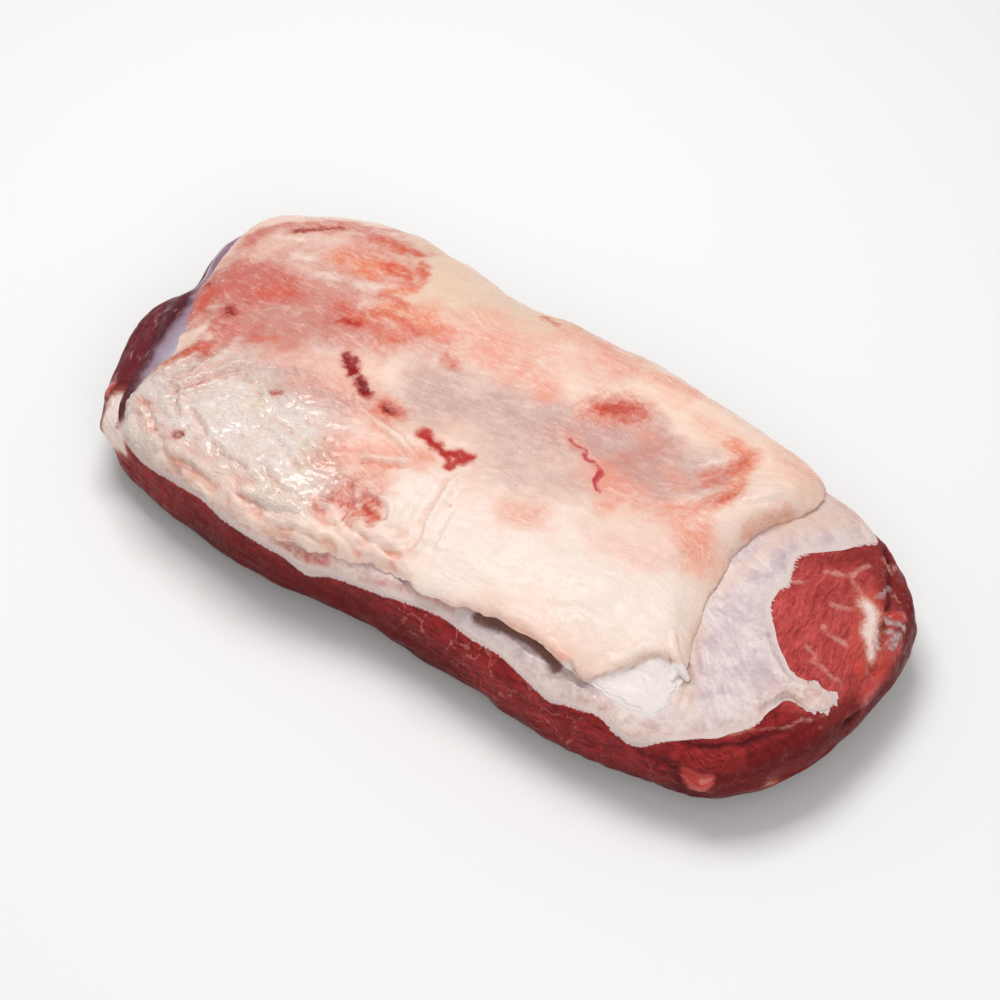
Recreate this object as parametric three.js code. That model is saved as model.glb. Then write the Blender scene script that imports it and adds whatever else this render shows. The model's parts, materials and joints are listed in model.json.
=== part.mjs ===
// A whole raw beef shoulder: a long boneless slab of dark red lean with a rounded side, a thin
// silverskin over its top, and a thick sheet of fat laid over the silverskin. The fat stops short
// of the right end, where a knife has opened the silverskin down to bright lean. Near that end the
// front edge of the fat is a loose lip, with a thinner white ply beside it.
//
// Millimetres, +Z up. X runs along the length, the bare end at +X, and the front side is at -Y. The
// origin is under the middle of the piece, on the surface that it rests on.
import * as THREE from "three";
import { mergeVertices } from "three/addons/utils/BufferGeometryUtils.js";

// Heights above the resting surface, before the relief is added.
const WIDEST_HEIGHT = 29;
const LEAN_HEIGHT = 62;
const UNDERSIDE_ARCH = 2.6;

// The layers over the lean, from the lean outwards.
const LAYER_GAP = 0.5;
const SILVERSKIN_THICKNESS = 1.5;
const FAT_THICKNESS = 10.5;
const FAT_UNDERSIDE = 2 * LAYER_GAP + SILVERSKIN_THICKNESS;

// How square the cross section is: 2 is an ellipse, more is squarer.
const SIDE_SQUARENESS = 4.6;
const RIGHT_END_SQUARENESS = 3.4;
const LEFT_END_SQUARENESS = 3;
const UNDERSIDE_SQUARENESS = 4;

// The spine of the piece runs along X between these. Rays leave it straight across on the front
// and back sides and in a fan round each end, so a place on the surface is a ray and a turn: 0 on
// the spine, 45 at the shoulder, 90 at the widest line and 180 under the spine.
const SPINE_LEFT = -140;
const SPINE_RIGHT = 60;

// What varies from ray to ray is a list of evenly spaced values, once round anticlockwise as seen
// from above: front side, right end, back side, left end.
const REACH = around({
  front: [106.5, 111.5, 112.5, 107.5, 105.5],
  rightEnd: [
    107.5, 112.5, 119, 127.5, 138.5, 152, 164.5, 171, 172.5, 171,
    170, 172.5, 171.5, 160, 141, 124, 114.5, 107, 102.5, 101,
  ],
  back: [101, 104.5, 106.5, 105.5, 111],
  leftEnd: [119, 122.5, 122, 121, 115, 100, 99.5, 98.5, 99.5, 106, 108.5, 106],
});
const SILVERSKIN_EDGE = around({
  front: [59.5, 61.5, 63, 62.5, 55.5],
  rightEnd: [
    52, 54, 58.5, 57, 61, 57, 53, 52, 51, 38,
    32.5, 33.5, 34, 50, 70, 80, 84, 84, 84, 84,
  ],
  back: [84, 82, 78, 70, 74],
  leftEnd: [78, 78, 74, 70, 62, 62, 53.5, 48, 45, 46, 57, 65],
});
const FAT_EDGE = around({
  front: [56, 55.5, 56, 49.5, 48.5],
  rightEnd: [
    46, 45, 44.5, 47, 48.5, 50, 38.5, 31, 26.5, 26,
    25, 25, 26.5, 33, 44, 60, 71, 75, 76, 76,
  ],
  back: [75, 72, 66, 54, 63],
  leftEnd: [68, 68, 66, 60, 47, 48, 39.5, 35.5, 34.5, 36, 51, 60.5],
});

// How much of its full thickness the fat keeps at its edge.
const FAT_EDGE_FULLNESS = around({
  front: [0.55, 0.6, 0.6, 0.55, 0.6],
  rightEnd: [
    0.72, 0.78, 0.78, 0.8, 0.8, 0.7, 0.55, 0.5, 0.55, 0.6,
    0.7, 0.9, 1, 0.9, 0.65, 0.5, 0.5, 0.5, 0.5, 0.5,
  ],
  back: [0.5, 0.5, 0.5, 0.5, 0.5],
  leftEnd: [0.5, 0.5, 0.5, 0.45, 0.4, 0.4, 0.35, 0.3, 0.3, 0.3, 0.4, 0.55],
});

// A tongue of silverskin left standing beside the bare lean: the angle of its ray, its half width
// in degrees, and how many degrees of turn it reaches past the edge.
const TONGUE = { angle: -14.5, spread: 3.4, reach: 11 };

// Swellings and hollows of the lean: where, how far each spreads, and how high it stands.
const LEAN_SWELLS = [
  { at: [-226, 58, 34], spread: 30, height: 4 },
  { at: [-228, -24, 34], spread: 36, height: 3 },
  { at: [-236, 22, 46], spread: 10, height: -7 },
  { at: [-206, -88, 34], spread: 16, height: 4 },
  { at: [232, 10, 24], spread: 34, height: 2 },
  { at: [188, -101, 11], spread: 14, height: 3.5 },
  { at: [150, -112, 24], spread: 24, height: -2 },
  { at: [60, -112, 30], spread: 40, height: 1.5 },
  { at: [-20, -112, 22], spread: 30, height: -1.5 },
];

// Seams between muscles: lines, with the width and the depth of the groove along each.
const LEAN_SEAMS = [
  {
    path: [[206, 60, 48], [216, 36, 46], [219, 8, 45], [214, -16, 46], [203, -38, 50]],
    width: 9,
    depth: 3,
  },
  { path: [[158, -116, 18], [182, -106, 17], [206, -86, 18], [224, -58, 22]], width: 8, depth: 3.5 },
  { path: [[-196, -104, 30], [-204, -90, 24], [-214, -78, 12]], width: 9, depth: 3 },
];

// Broad folds of the fat in plan: a positive depth is a crease and a negative one a ridge.
const FAT_FOLDS = [
  { path: [[-12, -30], [-5, -54], [-3, -72], [4, -92]], width: 9, depth: 2.8 },
  { path: [[-22, -34], [-16, -56], [-14, -78]], width: 9, depth: -2.4 },
  { path: [[-64, -54], [-46, -50], [-30, -41]], width: 8, depth: 2.2 },
  { path: [[-196, -44], [-180, -28], [-160, -8]], width: 8, depth: 2.6 },
  { path: [[-190, -32], [-174, -14], [-156, 2]], width: 9, depth: -2.4 },
  { path: [[96, -62], [112, -20], [124, 22], [144, 52]], width: 12, depth: -2.6 },
  { path: [[84, 18], [102, 34], [118, 62]], width: 11, depth: 2.2 },
  { path: [[28, 22], [42, 14], [61, 1]], width: 8, depth: 1.6 },
  { path: [[-92, -2], [-74, -12], [-62, -22]], width: 9, depth: 1.8 },
  { path: [[104, -84], [128, -84], [148, -74]], width: 7, depth: 2 },
];

// Rolls along the front edge of the fat: how tall, how far back, how long each is.
const FRONT_ROLLS = { from: -112, to: 30, height: 2.2, depth: 17, length: 31 };

// Thinner places in the fat, each with the share of the thickness that is lost there.
const FAT_THIN_PLACES = [
  { at: [45, 30], spread: 60, share: 0.22 },
  { at: [-190, -70], spread: 38, share: 0.35 },
  { at: [-150, 90], spread: 45, share: 0.2 },
];

// The loose lip along the front of the fat: from one x to the other, how far it stands off the
// silverskin at its edge, and how far back the space under it goes.
const LIP = { from: 52, to: 124, rise: 4, undercut: 20 };

// The thin white ply that the front right corner of the fat leaves showing: the ray through its
// middle and its half width in degrees, how far it shows past the fat over it, and its thickness.
const PLY = { angle: -48, spread: 8.5, shown: 21, thickness: 3.4 };

// Facets along a side and round each end.
const SIDE_STEPS = 26;
const RIGHT_END_STEPS = 42;
const LEFT_END_STEPS = 30;

// Shares of the turn at which there is a ring of points: from the spine to the edge of the fat, on
// to the edge of the silverskin, and on to the widest line. Then turns under the piece.
const COVERED_RINGS = [0, 0.5, 0.85];
const SILVERSKIN_RINGS = [0, 0.25, 0.5, 0.75];
const BARE_RINGS = [0, 0.2, 0.4, 0.6, 0.8, 1];
const UNDER_TURNS = [101, 113, 125, 136, 146, 180];
const FAT_TOP_RINGS = [0, 0.12, 0.24, 0.36, 0.48, 0.6, 0.71, 0.81, 0.91, 1];

const { degToRad, lerp } = THREE.MathUtils;
const smooth = (x) => THREE.MathUtils.smoothstep(x, 0, 1);
const bell = (distance, spread) => Math.exp(-((distance / spread) ** 2));
const sum = (values) => values.reduce((total, value) => total + value, 0);

function around({ front, rightEnd, back, leftEnd }) {
  const counts = [front.length, rightEnd.length, back.length, leftEnd.length];
  return { counts, values: [...front, ...rightEnd, ...back, ...leftEnd] };
}

// The value of a list at a ray: a smooth curve through the evenly spaced values.
function valueAt({ counts, values }, { side, share }) {
  const before = sum(counts.slice(0, side));
  const place = before + share * counts[side];
  const first = Math.floor(place);
  const at = (step) => values[(first + step + values.length) % values.length];
  const [a, b, c, d] = [at(-1), at(0), at(1), at(2)];
  const t = place - first;
  return b + 0.5 * t * (c - a + t * (2 * a - 5 * b + 4 * c - d + t * (3 * (b - c) + d - a)));
}

// A ray's foot on the spine and its direction. Sides: 0 front, 1 right end, 2 back, 3 left end.
function rayLine({ side, share }) {
  const along = side === 0 ? share : side === 1 ? 1 : side === 2 ? 1 - share : 0;
  const angle = [-90, -90 + 180 * share, 90, 90 + 180 * share][side];
  return {
    x: lerp(SPINE_LEFT, SPINE_RIGHT, along),
    dx: Math.cos(degToRad(angle)),
    dy: Math.sin(degToRad(angle)),
    angle,
  };
}

function raysRound() {
  const steps = [SIDE_STEPS, RIGHT_END_STEPS, SIDE_STEPS, LEFT_END_STEPS];
  return steps.flatMap((count, side) => {
    return Array.from({ length: count }, (_, i) => ({ side, share: i / count }));
  });
}

function silverskinEdge(ray) {
  const tongue = ray.side === 1 ? TONGUE.reach * bell(rayLine(ray).angle - TONGUE.angle, TONGUE.spread) : 0;
  return valueAt(SILVERSKIN_EDGE, ray) + tongue;
}

function fatEdge(ray) {
  return valueAt(FAT_EDGE, ray);
}

function squareness({ side, share }) {
  const end = side === 1 ? RIGHT_END_SQUARENESS : LEFT_END_SQUARENESS;
  return side % 2 === 0 ? SIDE_SQUARENESS : lerp(SIDE_SQUARENESS, end, Math.sin(Math.PI * share));
}

// The crown of the lean falls away a little towards both ends.
function crownHeight(x) {
  return LEAN_HEIGHT - 4 * smooth((-x - 90) / 150) - 3 * smooth((x - 120) / 110);
}

// The plain rounded slab, without its relief.
function slabPoint(ray, turn) {
  const { x, dx, dy } = rayLine(ray);
  const upper = turn <= 90;
  const power = upper ? squareness(ray) : UNDERSIDE_SQUARENESS;
  const across = Math.sin(degToRad(turn));
  const up = Math.cos(degToRad(turn));
  const size = (Math.abs(across) ** power + Math.abs(up) ** power) ** (1 / power);
  const out = (valueAt(REACH, ray) * across) / size;
  const half = upper ? crownHeight(x + dx * out) - WIDEST_HEIGHT : WIDEST_HEIGHT + UNDERSIDE_ARCH;
  return new THREE.Vector3(x + dx * out, dy * out, Math.max(0, WIDEST_HEIGHT + (half * up) / size));
}

function slabNormal(ray, turn) {
  const step = 0.004;
  const before = slabPoint({ side: ray.side, share: Math.max(0, ray.share - step) }, turn);
  const after = slabPoint({ side: ray.side, share: Math.min(1, ray.share + step) }, turn);
  const above = slabPoint(ray, turn - 0.5);
  const below = slabPoint(ray, turn + 0.5);
  return after.sub(before).cross(above.sub(below)).normalize();
}

function distanceToPath(point, path) {
  const line = new THREE.Line3();
  const nearest = new THREE.Vector3();
  const corners = path.map(([x, y, z = 0]) => new THREE.Vector3(x, y, z));
  const distances = corners.slice(1).map((end, i) => {
    line.set(corners[i], end).closestPointToPoint(point, true, nearest);
    return nearest.distanceTo(point);
  });
  return Math.min(...distances);
}

// Slow unevenness of the flesh.
function unevenness({ x, y, z }) {
  return 0.9 * Math.sin(x / 23 + 1.3 * Math.sin(y / 31)) + 0.7 * Math.sin(y / 17 + x / 41 + z / 19);
}

function leanRelief(p) {
  const swells = LEAN_SWELLS.map(({ at, spread, height }) => {
    return height * bell(p.distanceTo(new THREE.Vector3(...at)), spread);
  });
  const seams = LEAN_SEAMS.map(({ path, width, depth }) => -depth * bell(distanceToPath(p, path), width));
  return smooth(p.z / 8) * (unevenness(p) + sum(swells) + sum(seams));
}

// A point raised by an offset from the lean's surface. It is the surface itself at offset 0.
function surfacePoint(ray, turn, offset = 0) {
  const base = slabPoint(ray, turn);
  if (base.z === 0) return base;
  const normal = turn < 2 ? new THREE.Vector3(0, 0, 1) : slabNormal(ray, turn);
  const point = base.clone().addScaledVector(normal, leanRelief(base) + offset);
  point.z = Math.max(0, point.z);
  return point;
}

// A closed surface through rings of points. The first and the last ring lie along the spine and
// fold shut there, because their points coincide in pairs. The first rings may run outwards, up to
// the one named: their four-sided cells are halved the other way, so that layers that lie on one
// another have parallel facets.
function shell(rings, outermost = 0) {
  const count = rings[0].length;
  const faces = [];
  for (let ring = 0; ring + 1 < rings.length; ring++) {
    for (let i = 0; i < count; i++) {
      const a = ring * count + i;
      const b = ring * count + ((i + 1) % count);
      const outwards = ring < outermost;
      faces.push([a, b, outwards ? a + count : b + count], [outwards ? b : a, b + count, a + count]);
    }
  }
  const loose = new THREE.BufferGeometry().setFromPoints(rings.flat()).setIndex(faces.flat());
  const merged = mergeVertices(loose, 1e-3);
  const corners = Array.from(merged.index.array);
  const kept = faces
    .map((_, i) => corners.slice(3 * i, 3 * i + 3))
    .filter(([a, b, c]) => a !== b && b !== c && c !== a);
  return merged.setIndex(kept.flat());
}

// One ring of points: a turn and an offset for each ray.
function ring(turnOf, offsetOf) {
  return raysRound().map((ray) => {
    const turn = turnOf(ray);
    return surfacePoint(ray, turn, offsetOf(ray, turn));
  });
}

// Turns of the rings over the top, shared by the layers that lie on one another.
const coveredTurns = COVERED_RINGS.map((share) => (ray) => share * fatEdge(ray));
const fringeTurns = SILVERSKIN_RINGS.map((share) => {
  return (ray) => lerp(fatEdge(ray), silverskinEdge(ray), share);
});

function leanGeometry() {
  const bareTurns = BARE_RINGS.map((share) => (ray) => lerp(silverskinEdge(ray), 90, share));
  const underTurns = UNDER_TURNS.map((turn) => () => turn);
  const turns = [...coveredTurns, ...fringeTurns, ...bareTurns, ...underTurns];
  return shell(turns.reverse().map((turnOf) => ring(turnOf, () => 0)));
}

function silverskinGeometry() {
  const turns = [...coveredTurns, ...fringeTurns, silverskinEdge];
  const top = LAYER_GAP + SILVERSKIN_THICKNESS;
  const lower = turns.map((turnOf) => ring(turnOf, () => LAYER_GAP));
  const rim = ring((ray) => silverskinEdge(ray) + 0.5, () => (LAYER_GAP + top) / 2);
  const upper = turns.map((turnOf) => ring(turnOf, () => top));
  return shell([...lower, rim, ...upper.reverse()], lower.length - 1);
}

// The length along a ray between two turns, as a straight line.
function gap(ray, turn, otherTurn) {
  return slabPoint(ray, turn).distanceTo(slabPoint(ray, otherTurn));
}

// The turn that lies a distance in from the fat's edge.
function insetTurn(ray, inset) {
  const edge = fatEdge(ray);
  return edge - inset / gap(ray, edge, edge - 1);
}

function lipRise(ray, turn) {
  const { x, y } = slabPoint(ray, turn);
  const along = smooth((x - LIP.from) / 16) * smooth((LIP.to - x) / 16);
  return y < 0 ? LIP.rise * along * (1 - smooth(gap(ray, turn, fatEdge(ray)) / LIP.undercut)) : 0;
}

function frontRolls(x, y, fromEdge) {
  const along = smooth((x - FRONT_ROLLS.from) / 20) * smooth((FRONT_ROLLS.to - x) / 20);
  const lumps = 0.6 + 0.4 * Math.sin((2 * Math.PI * x) / FRONT_ROLLS.length + 0.8 * Math.sin(x / 9));
  return y < 0 ? FRONT_ROLLS.height * along * lumps * bell(fromEdge - 6, FRONT_ROLLS.depth) : 0;
}

// How much of a place is bare ply: 1 on the ply and 0 where the full fat lies over it.
function plyShare(ray, fromEdge) {
  const middle = ray.side === 1 ? bell(rayLine(ray).angle - PLY.angle, PLY.spread) : 0;
  return smooth(middle / 0.25) * (1 - smooth((fromEdge - PLY.shown * middle) / 6));
}

function fatThickness(ray, turn) {
  const { x, y } = slabPoint(ray, turn);
  const here = new THREE.Vector3(x, y, 0);
  const fromEdge = gap(ray, turn, fatEdge(ray));
  const kept = FAT_THIN_PLACES.map(({ at, spread, share }) => {
    return 1 - share * bell(Math.hypot(x - at[0], y - at[1]), spread);
  });
  const fullness = lerp(valueAt(FAT_EDGE_FULLNESS, ray), 1, smooth(fromEdge / 26));
  const folds = FAT_FOLDS.map(({ path, width, depth }) => -depth * bell(distanceToPath(here, path), width));
  const relief = sum(folds) * smooth(fromEdge / 8) + frontRolls(x, y, fromEdge);
  const sheet = FAT_THICKNESS * kept.reduce((product, share) => product * share, 1) * fullness + relief;
  return lerp(Math.max(2.6, sheet), PLY.thickness, plyShare(ray, fromEdge));
}

function fatGeometry() {
  const underside = (ray, turn) => FAT_UNDERSIDE + lipRise(ray, turn);
  const raised = (share) => (ray, turn) => underside(ray, turn) + share * fatThickness(ray, turn);
  const lower = [...coveredTurns, fatEdge].map((turnOf) => ring(turnOf, underside));
  const rim = ring((ray) => insetTurn(ray, -0.8), raised(0.45));
  const shoulders = [
    ring((ray) => insetTurn(ray, 1.2), raised(0.88)),
    ring((ray) => insetTurn(ray, 4.5), raised(1)),
    ring((ray) => insetTurn(ray, 10), raised(1)),
  ];
  const upper = FAT_TOP_RINGS.map((share) => ring((ray) => share * insetTurn(ray, 17), raised(1)));
  return shell([...lower, rim, ...shoulders, ...upper.reverse()], lower.length - 1);
}

function layer(name, geometry, color, roughness) {
  const mesh = new THREE.Mesh(geometry, new THREE.MeshStandardMaterial({ color, roughness, metalness: 0 }));
  mesh.name = name;
  return mesh;
}

const shoulder = new THREE.Group();
shoulder.add(layer("lean_meat", leanGeometry(), 0x7a2226, 0.38));
shoulder.add(layer("silverskin", silverskinGeometry(), 0xcfc4c6, 0.3));
shoulder.add(layer("fat_cap", fatGeometry(), 0xf0d9c6, 0.42));

// The origin goes under the middle of the finished piece.
const extent = new THREE.Box3().setFromObject(shoulder);
const middle = extent.getCenter(new THREE.Vector3());
shoulder.position.set(-middle.x, -middle.y, -extent.min.z);

const piece = new THREE.Group();
piece.add(shoulder);
export default piece;
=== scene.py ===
"""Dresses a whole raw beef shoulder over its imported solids: the lean, the silverskin and the fat cap.

Each solid is copied, refined and sculpted where it shows, and painted by what lies there: every place
in the lists below is in millimetres in the part's own frame, X along the length towards the bare end.
"""

import json
import math
from itertools import starmap
from typing import NamedTuple

import bpy
import numpy as np
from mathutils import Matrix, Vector
from mathutils.bvhtree import BVHTree
from mathutils.kdtree import KDTree

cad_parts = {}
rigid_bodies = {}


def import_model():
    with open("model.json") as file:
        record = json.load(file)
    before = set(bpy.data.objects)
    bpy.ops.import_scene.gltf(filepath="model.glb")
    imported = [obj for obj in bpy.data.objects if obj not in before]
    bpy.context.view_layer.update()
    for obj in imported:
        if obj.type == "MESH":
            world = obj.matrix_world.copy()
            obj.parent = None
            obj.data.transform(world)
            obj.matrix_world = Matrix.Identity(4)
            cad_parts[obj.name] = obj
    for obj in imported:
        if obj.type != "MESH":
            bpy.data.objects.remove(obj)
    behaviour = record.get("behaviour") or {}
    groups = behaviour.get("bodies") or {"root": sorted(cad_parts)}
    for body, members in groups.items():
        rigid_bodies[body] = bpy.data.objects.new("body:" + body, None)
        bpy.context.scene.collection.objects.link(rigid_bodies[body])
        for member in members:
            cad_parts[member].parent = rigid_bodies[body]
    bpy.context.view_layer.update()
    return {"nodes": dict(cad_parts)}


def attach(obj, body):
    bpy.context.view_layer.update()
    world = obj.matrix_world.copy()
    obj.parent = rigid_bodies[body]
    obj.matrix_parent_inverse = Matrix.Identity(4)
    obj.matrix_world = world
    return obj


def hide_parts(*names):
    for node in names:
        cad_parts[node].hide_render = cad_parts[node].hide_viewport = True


bl_info = {
    "name": "Raw Beef Shoulder",
    "version": (1, 0, 0),
    "blender": (4, 5, 0),
    "location": "3D View > Sidebar > Beef",
    "description": "Dresses a whole raw beef shoulder: lean, silverskin and fat cap",
    "category": "Object",
}

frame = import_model()

MM = 0.001
SAME_PLACE = 0.002 * MM
SMOOTH_ANGLE = math.radians(55)

# The middle line of the lean, and how far the flesh reaches from it across and up.
MIDDLE_LEFT, MIDDLE_RIGHT, MIDDLE_Y, MIDDLE_HEIGHT = -135.0, 65.0, -5.0, 29.0
REACH_ACROSS, REACH_UP = 110.0, 36.0
STRAIGHT = MIDDLE_RIGHT - MIDDLE_LEFT
ROUND_TRIP = 2 * STRAIGHT + 2 * math.pi * REACH_ACROSS

# Folds of the fat: the path of each, the height and width of its ridge, the depth and width of its groove.
FAT_FOLDS = [
    ([(0, -34), (-1, -46), (2, -58), (3, -68), (5, -77), (9, -83), (9, -90), (6, -98)], 2.6, 2.8, 1.9, 1.7),
    ([(-8, -66), (-6, -76), (2, -86), (-4, -94)], 1.2, 1.8, 1, 1.4),
    ([(14, -60), (16, -74), (20, -90)], 0.9, 2.4, 0.9, 1.6),
    ([(-49, -62), (-34, -55), (-24, -50), (-20, -46)], 2, 2.8, 2, 1.5),
    ([(-20, -46), (-24, -38), (-40, -33), (-60, -30)], 0.8, 2.6, 0.8, 1.5),
    ([(-84, -18), (-73, -33), (-57, -38), (-38, -40), (-22, -47)], 1, 2.6, 1, 1.5),
    ([(-176, -70), (-168, -58), (-160, -44)], 1.6, 3, 1.6, 1.6),
    ([(-164, -80), (-156, -66), (-148, -52), (-138, -34)], 2.6, 2.8, 2.2, 1.7),
    ([(-158, -80), (-150, -68), (-140, -54)], 1.2, 2.2, 1.2, 1.4),
    ([(-196, -14), (-180, -10), (-166, -6)], 1.4, 2.2, 1.2, 1.5),
    ([(-138, -106), (-156, -97), (-172, -85), (-188, -86)], 1.6, 2.6, 1.9, 1.5),
    ([(-173, -66), (-160, -74), (-146, -88)], 1, 2.2, 1.6, 1.4),
    ([(-148, -78), (-134, -84), (-122, -92)], 1.2, 2.2, 2, 1.4),
    ([(-108, -73), (-96, -72), (-84, -76), (-62, -86)], 1.2, 2.4, 1.8, 1.4),
    ([(-153, -105), (-123, -107), (-101, -111)], 1.2, 2.6, 1.6, 1.5),
    ([(-130, -89), (-108, -96), (-86, -99)], 1.4, 2.8, 1.7, 1.5),
    ([(-86, -92), (-70, -98), (-50, -98)], 1.2, 2.6, 1.5, 1.5),
    ([(-116, -56), (-100, -63), (-80, -66), (-54, -75)], 0.9, 2.4, 1.3, 1.4),
    ([(-122, -27), (-104, -34), (-85, -36), (-59, -44)], 0.8, 2.4, 0.9, 1.4),
    ([(-140, -44), (-122, -50), (-112, -60)], 0.9, 2.4, 1, 1.4),
    ([(-93, -112), (-70, -110), (-49, -105)], 1.6, 3.4, 2, 1.7),
    ([(-66, -115), (-43, -111), (-23, -107)], 1.6, 3.2, 1.9, 1.7),
    ([(-36, -97), (-14, -98), (6, -96)], 1.6, 3.2, 1.8, 1.7),
    ([(-34, -88), (-27, -78), (-16, -78), (-12, -84), (-20, -90)], 1.4, 2, 2.2, 1.4),
    ([(-44, -74), (-36, -80), (-30, -90)], 1.3, 2, 1.7, 1.4),
    ([(28, -35), (38, -54), (52, -78)], 0.6, 6, 0.3, 3),
    ([(71, -12), (84, -26), (94, -42)], 0.5, 6, 0.3, 3),
    ([(104, 24), (113, 36), (118, 50), (117, 64)], 1, 3, 1.3, 1.6),
    ([(122, 12), (126, 28), (123, 48)], 1.2, 3.4, 1.4, 1.6),
    ([(132, 22), (141, 32), (150, 46)], 0.8, 3, 1, 1.6), ([(96, 0), (108, 8), (116, 20)], 0.8, 3, 1, 1.5),
    ([(128, -98), (138, -89), (143, -79), (152, -75)], 1.6, 2.6, 0.6, 1.4),
]
# Broad rises and hollows of the fat: the path of each, how far it spreads and its height.
FAT_SWELLS = [
    ([(104, -26), (117, 0), (128, 22)], 15, 1.8), ([(97, 34), (118, 32), (130, 26)], 9, -2),
    ([(112, 66), (136, 66), (156, 60)], 14, 1.8), ([(60, 28), (84, 34)], 14, -1.2),
    ([(-45, 0), (0, 10)], 18, -1), ([(62, -62), (96, -60)], 24, 1), ([(-178, -96), (-186, -84)], 11, 1.8),
    ([(-170, -40), (-175, -50), (-181, -60)], 5.6, 3.4),
    ([(-162, -44), (-167, -56), (-173, -68)], 2.6, -2.6), ([(-176, 24), (-150, 36)], 14, 1),
    ([(-160, 8), (-130, 20)], 12, -1),
]
# Pits in the fat: where, how wide and how deep.
PITS = [
    ((-91, -9), 4, 1.4), ((-74, -19), 3.5, 1.2), ((-55, -22), 3.2, 1.8), ((-16, -29), 2.5, 0.8),
    ((-140, -94), 2.2, 1.6), ((-16, -102), 2.4, 2), ((-28, -86), 3, 1),
]
SINEWS = [[(-64, 65), (-56, 61), (-48, 57)], [(-47, 52), (-30, 54), (-9, 52)], [(-20, 42), (6, 38)]]
CRACK = [(32, 17), (39, 15), (44, 14), (49, 10), (55, 9), (59, 7), (61, 2), (62, -2), (67, -7)]
# The loose lip, which stands clear of the silverskin under it, and the thin ply under its corner.
LIP = [(20, -106), (41, -107), (54, -104), (70, -104), (82, -104), (100, -104), (116, -108)]
LIP_LIFT = 2.0
PLY_EDGE = [(104, -112), (114, -105), (124, -106), (135, -94), (145, -81), (154, -73), (166, -69)]
PLY_MIDDLE = (150, -95)
OFF_PLY = -8.0
# Tongues that stand out of an edge, and bays in it: where, how wide and how far.
FAT_TABS = [
    ((-54, -118, 55), 14, -3), ((26, -103, 60), 8, 3.6), ((44, -102, 61), 9, 2.8), ((147, -35, 64), 9, 2),
    ((157, 48, 65), 9, 2),
]
SKIN_TABS = [
    ((215, -42, 50), 4.6, 14), ((219, -47, 50), 3.4, 7), ((205, -34, 53), 5, -4.5),
    ((195, -27, 56), 11, -7), ((215, -58, 50), 7.5, -9.5), ((209, -67, 51), 7, -5.5),
    ((180, -18, 60), 6, -2.5), ((169, 4, 62), 6, 4.5), ((191, 64, 51), 6, 3), ((158, -111, 48), 11, 4.5),
    ((137, -115, 48), 8, -3), ((111, -115, 49), 8, 3), ((60, -108, 54), 14, 3.5), ((-41, -116, 46), 10, 4),
    ((-112, -115, 48), 12, -2),
]


class Ball(NamedTuple):
    """A ball of a small lump: where, how large, its lift in radii, and how far it may hang below the last."""

    at: tuple
    radius: float
    lift: float
    fall: float = 1.6


# A small tongue that hangs out of the sheet's corner.
TONGUE = [
    ((146, -63), 3.4, -0.55), ((148, -66), 3.4, -0.35), ((150, -68.6), 3.3, -0.1),
    ((152.4, -70.6), 3.1, 0.1), ((155, -72.4), 2.9, 0.2), ((157.4, -73.8), 2.7, 0.2),
    ((159.8, -74.8), 2.4, 0.2), ((162, -75.4), 2.1, 0.2), ((164, -75.8), 1.7, 0.2),
    ((156.4, -76), 2.6, 0.1, 0.4), ((158, -78.6), 2, 0), ((158.6, -81), 1.4, 0),
]


class Band(NamedTuple):
    """A soft band along a path: half its width, the softness of its edge and how strongly it covers."""

    path: list
    radius: float
    soft: float = 1.5
    share: float = 1.0


# Bands on the fat where its surface is rough.
LOOSE_EDGE = [([(-196, -92), (-60, -112), (20, -102)], 14, 10)]
WRINKLED = [
    ([(-190, -90), (-150, -84), (-110, -80), (-70, -84)], 26, 26),
    ([(-156, -60), (-118, -50), (-84, -54)], 8, 34, 0.9),
]
LUMPY = [
    ([(-128, -106), (-92, -108), (-50, -104), (0, -97)], 14, 9),
]
CRUMPLED = [
    ([(-44, -80), (-26, -77), (-18, -88), (-36, -91)], 8, 7),
    ([(98, 20), (112, 38), (117, 60)], 5, 8, 0.55), ([(118, 10), (125, 26), (121, 46)], 4, 7, 0.5),
]
# Bands of colour on the fat: flesh that shows through, stains of blood and plain kinds of fat.
DUSKY = [
    ([(-206, 4), (-186, 14), (-158, 24), (-132, 34)], 14, 18),
    ([(-190, -4), (-168, 4), (-140, 10), (-118, 14)], 8, 20, 0.8),
    ([(-200, 30), (-172, 46), (-140, 54)], 20, 28, 0.55),
    ([(-178, -16), (-156, -14), (-128, -2)], 6, 18, 0.8), ([(64, 8), (71, 24), (77, 40)], 5, 18, 0.7),
    ([(26, 14), (40, 24)], 4, 16, 0.4),
]
SALMON = [
    ([(-205, 0), (-190, 0), (-172, 12)], 5, 16, 0.95), ([(-200, 16), (-180, 22), (-156, 26)], 4, 18, 0.8),
    ([(-204, -6), (-196, -20)], 5, 9),
    ([(-209, 44), (-200, 60), (-188, 78), (-166, 96), (-146, 98)], 3, 10, 0.9),
    ([(-166, 88), (-148, 90), (-128, 92)], 4, 12, 0.7), ([(-150, 74), (-134, 72), (-120, 74)], 2, 14, 0.35),
    ([(-128, 20), (-104, 22), (-84, 24), (-62, 28)], 3, 16, 0.5),
    ([(-132, 4), (-110, 6), (-90, 12)], 3, 16, 0.35),
    ([(-184, -58), (-175, -48), (-170, -38), (-172, -26)], 6, 7), ([(-172, -22), (-159, -12)], 3, 8, 0.6),
    ([(-40, -82), (-30, -76), (-22, -84)], 4, 8, 0.75),
]
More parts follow.
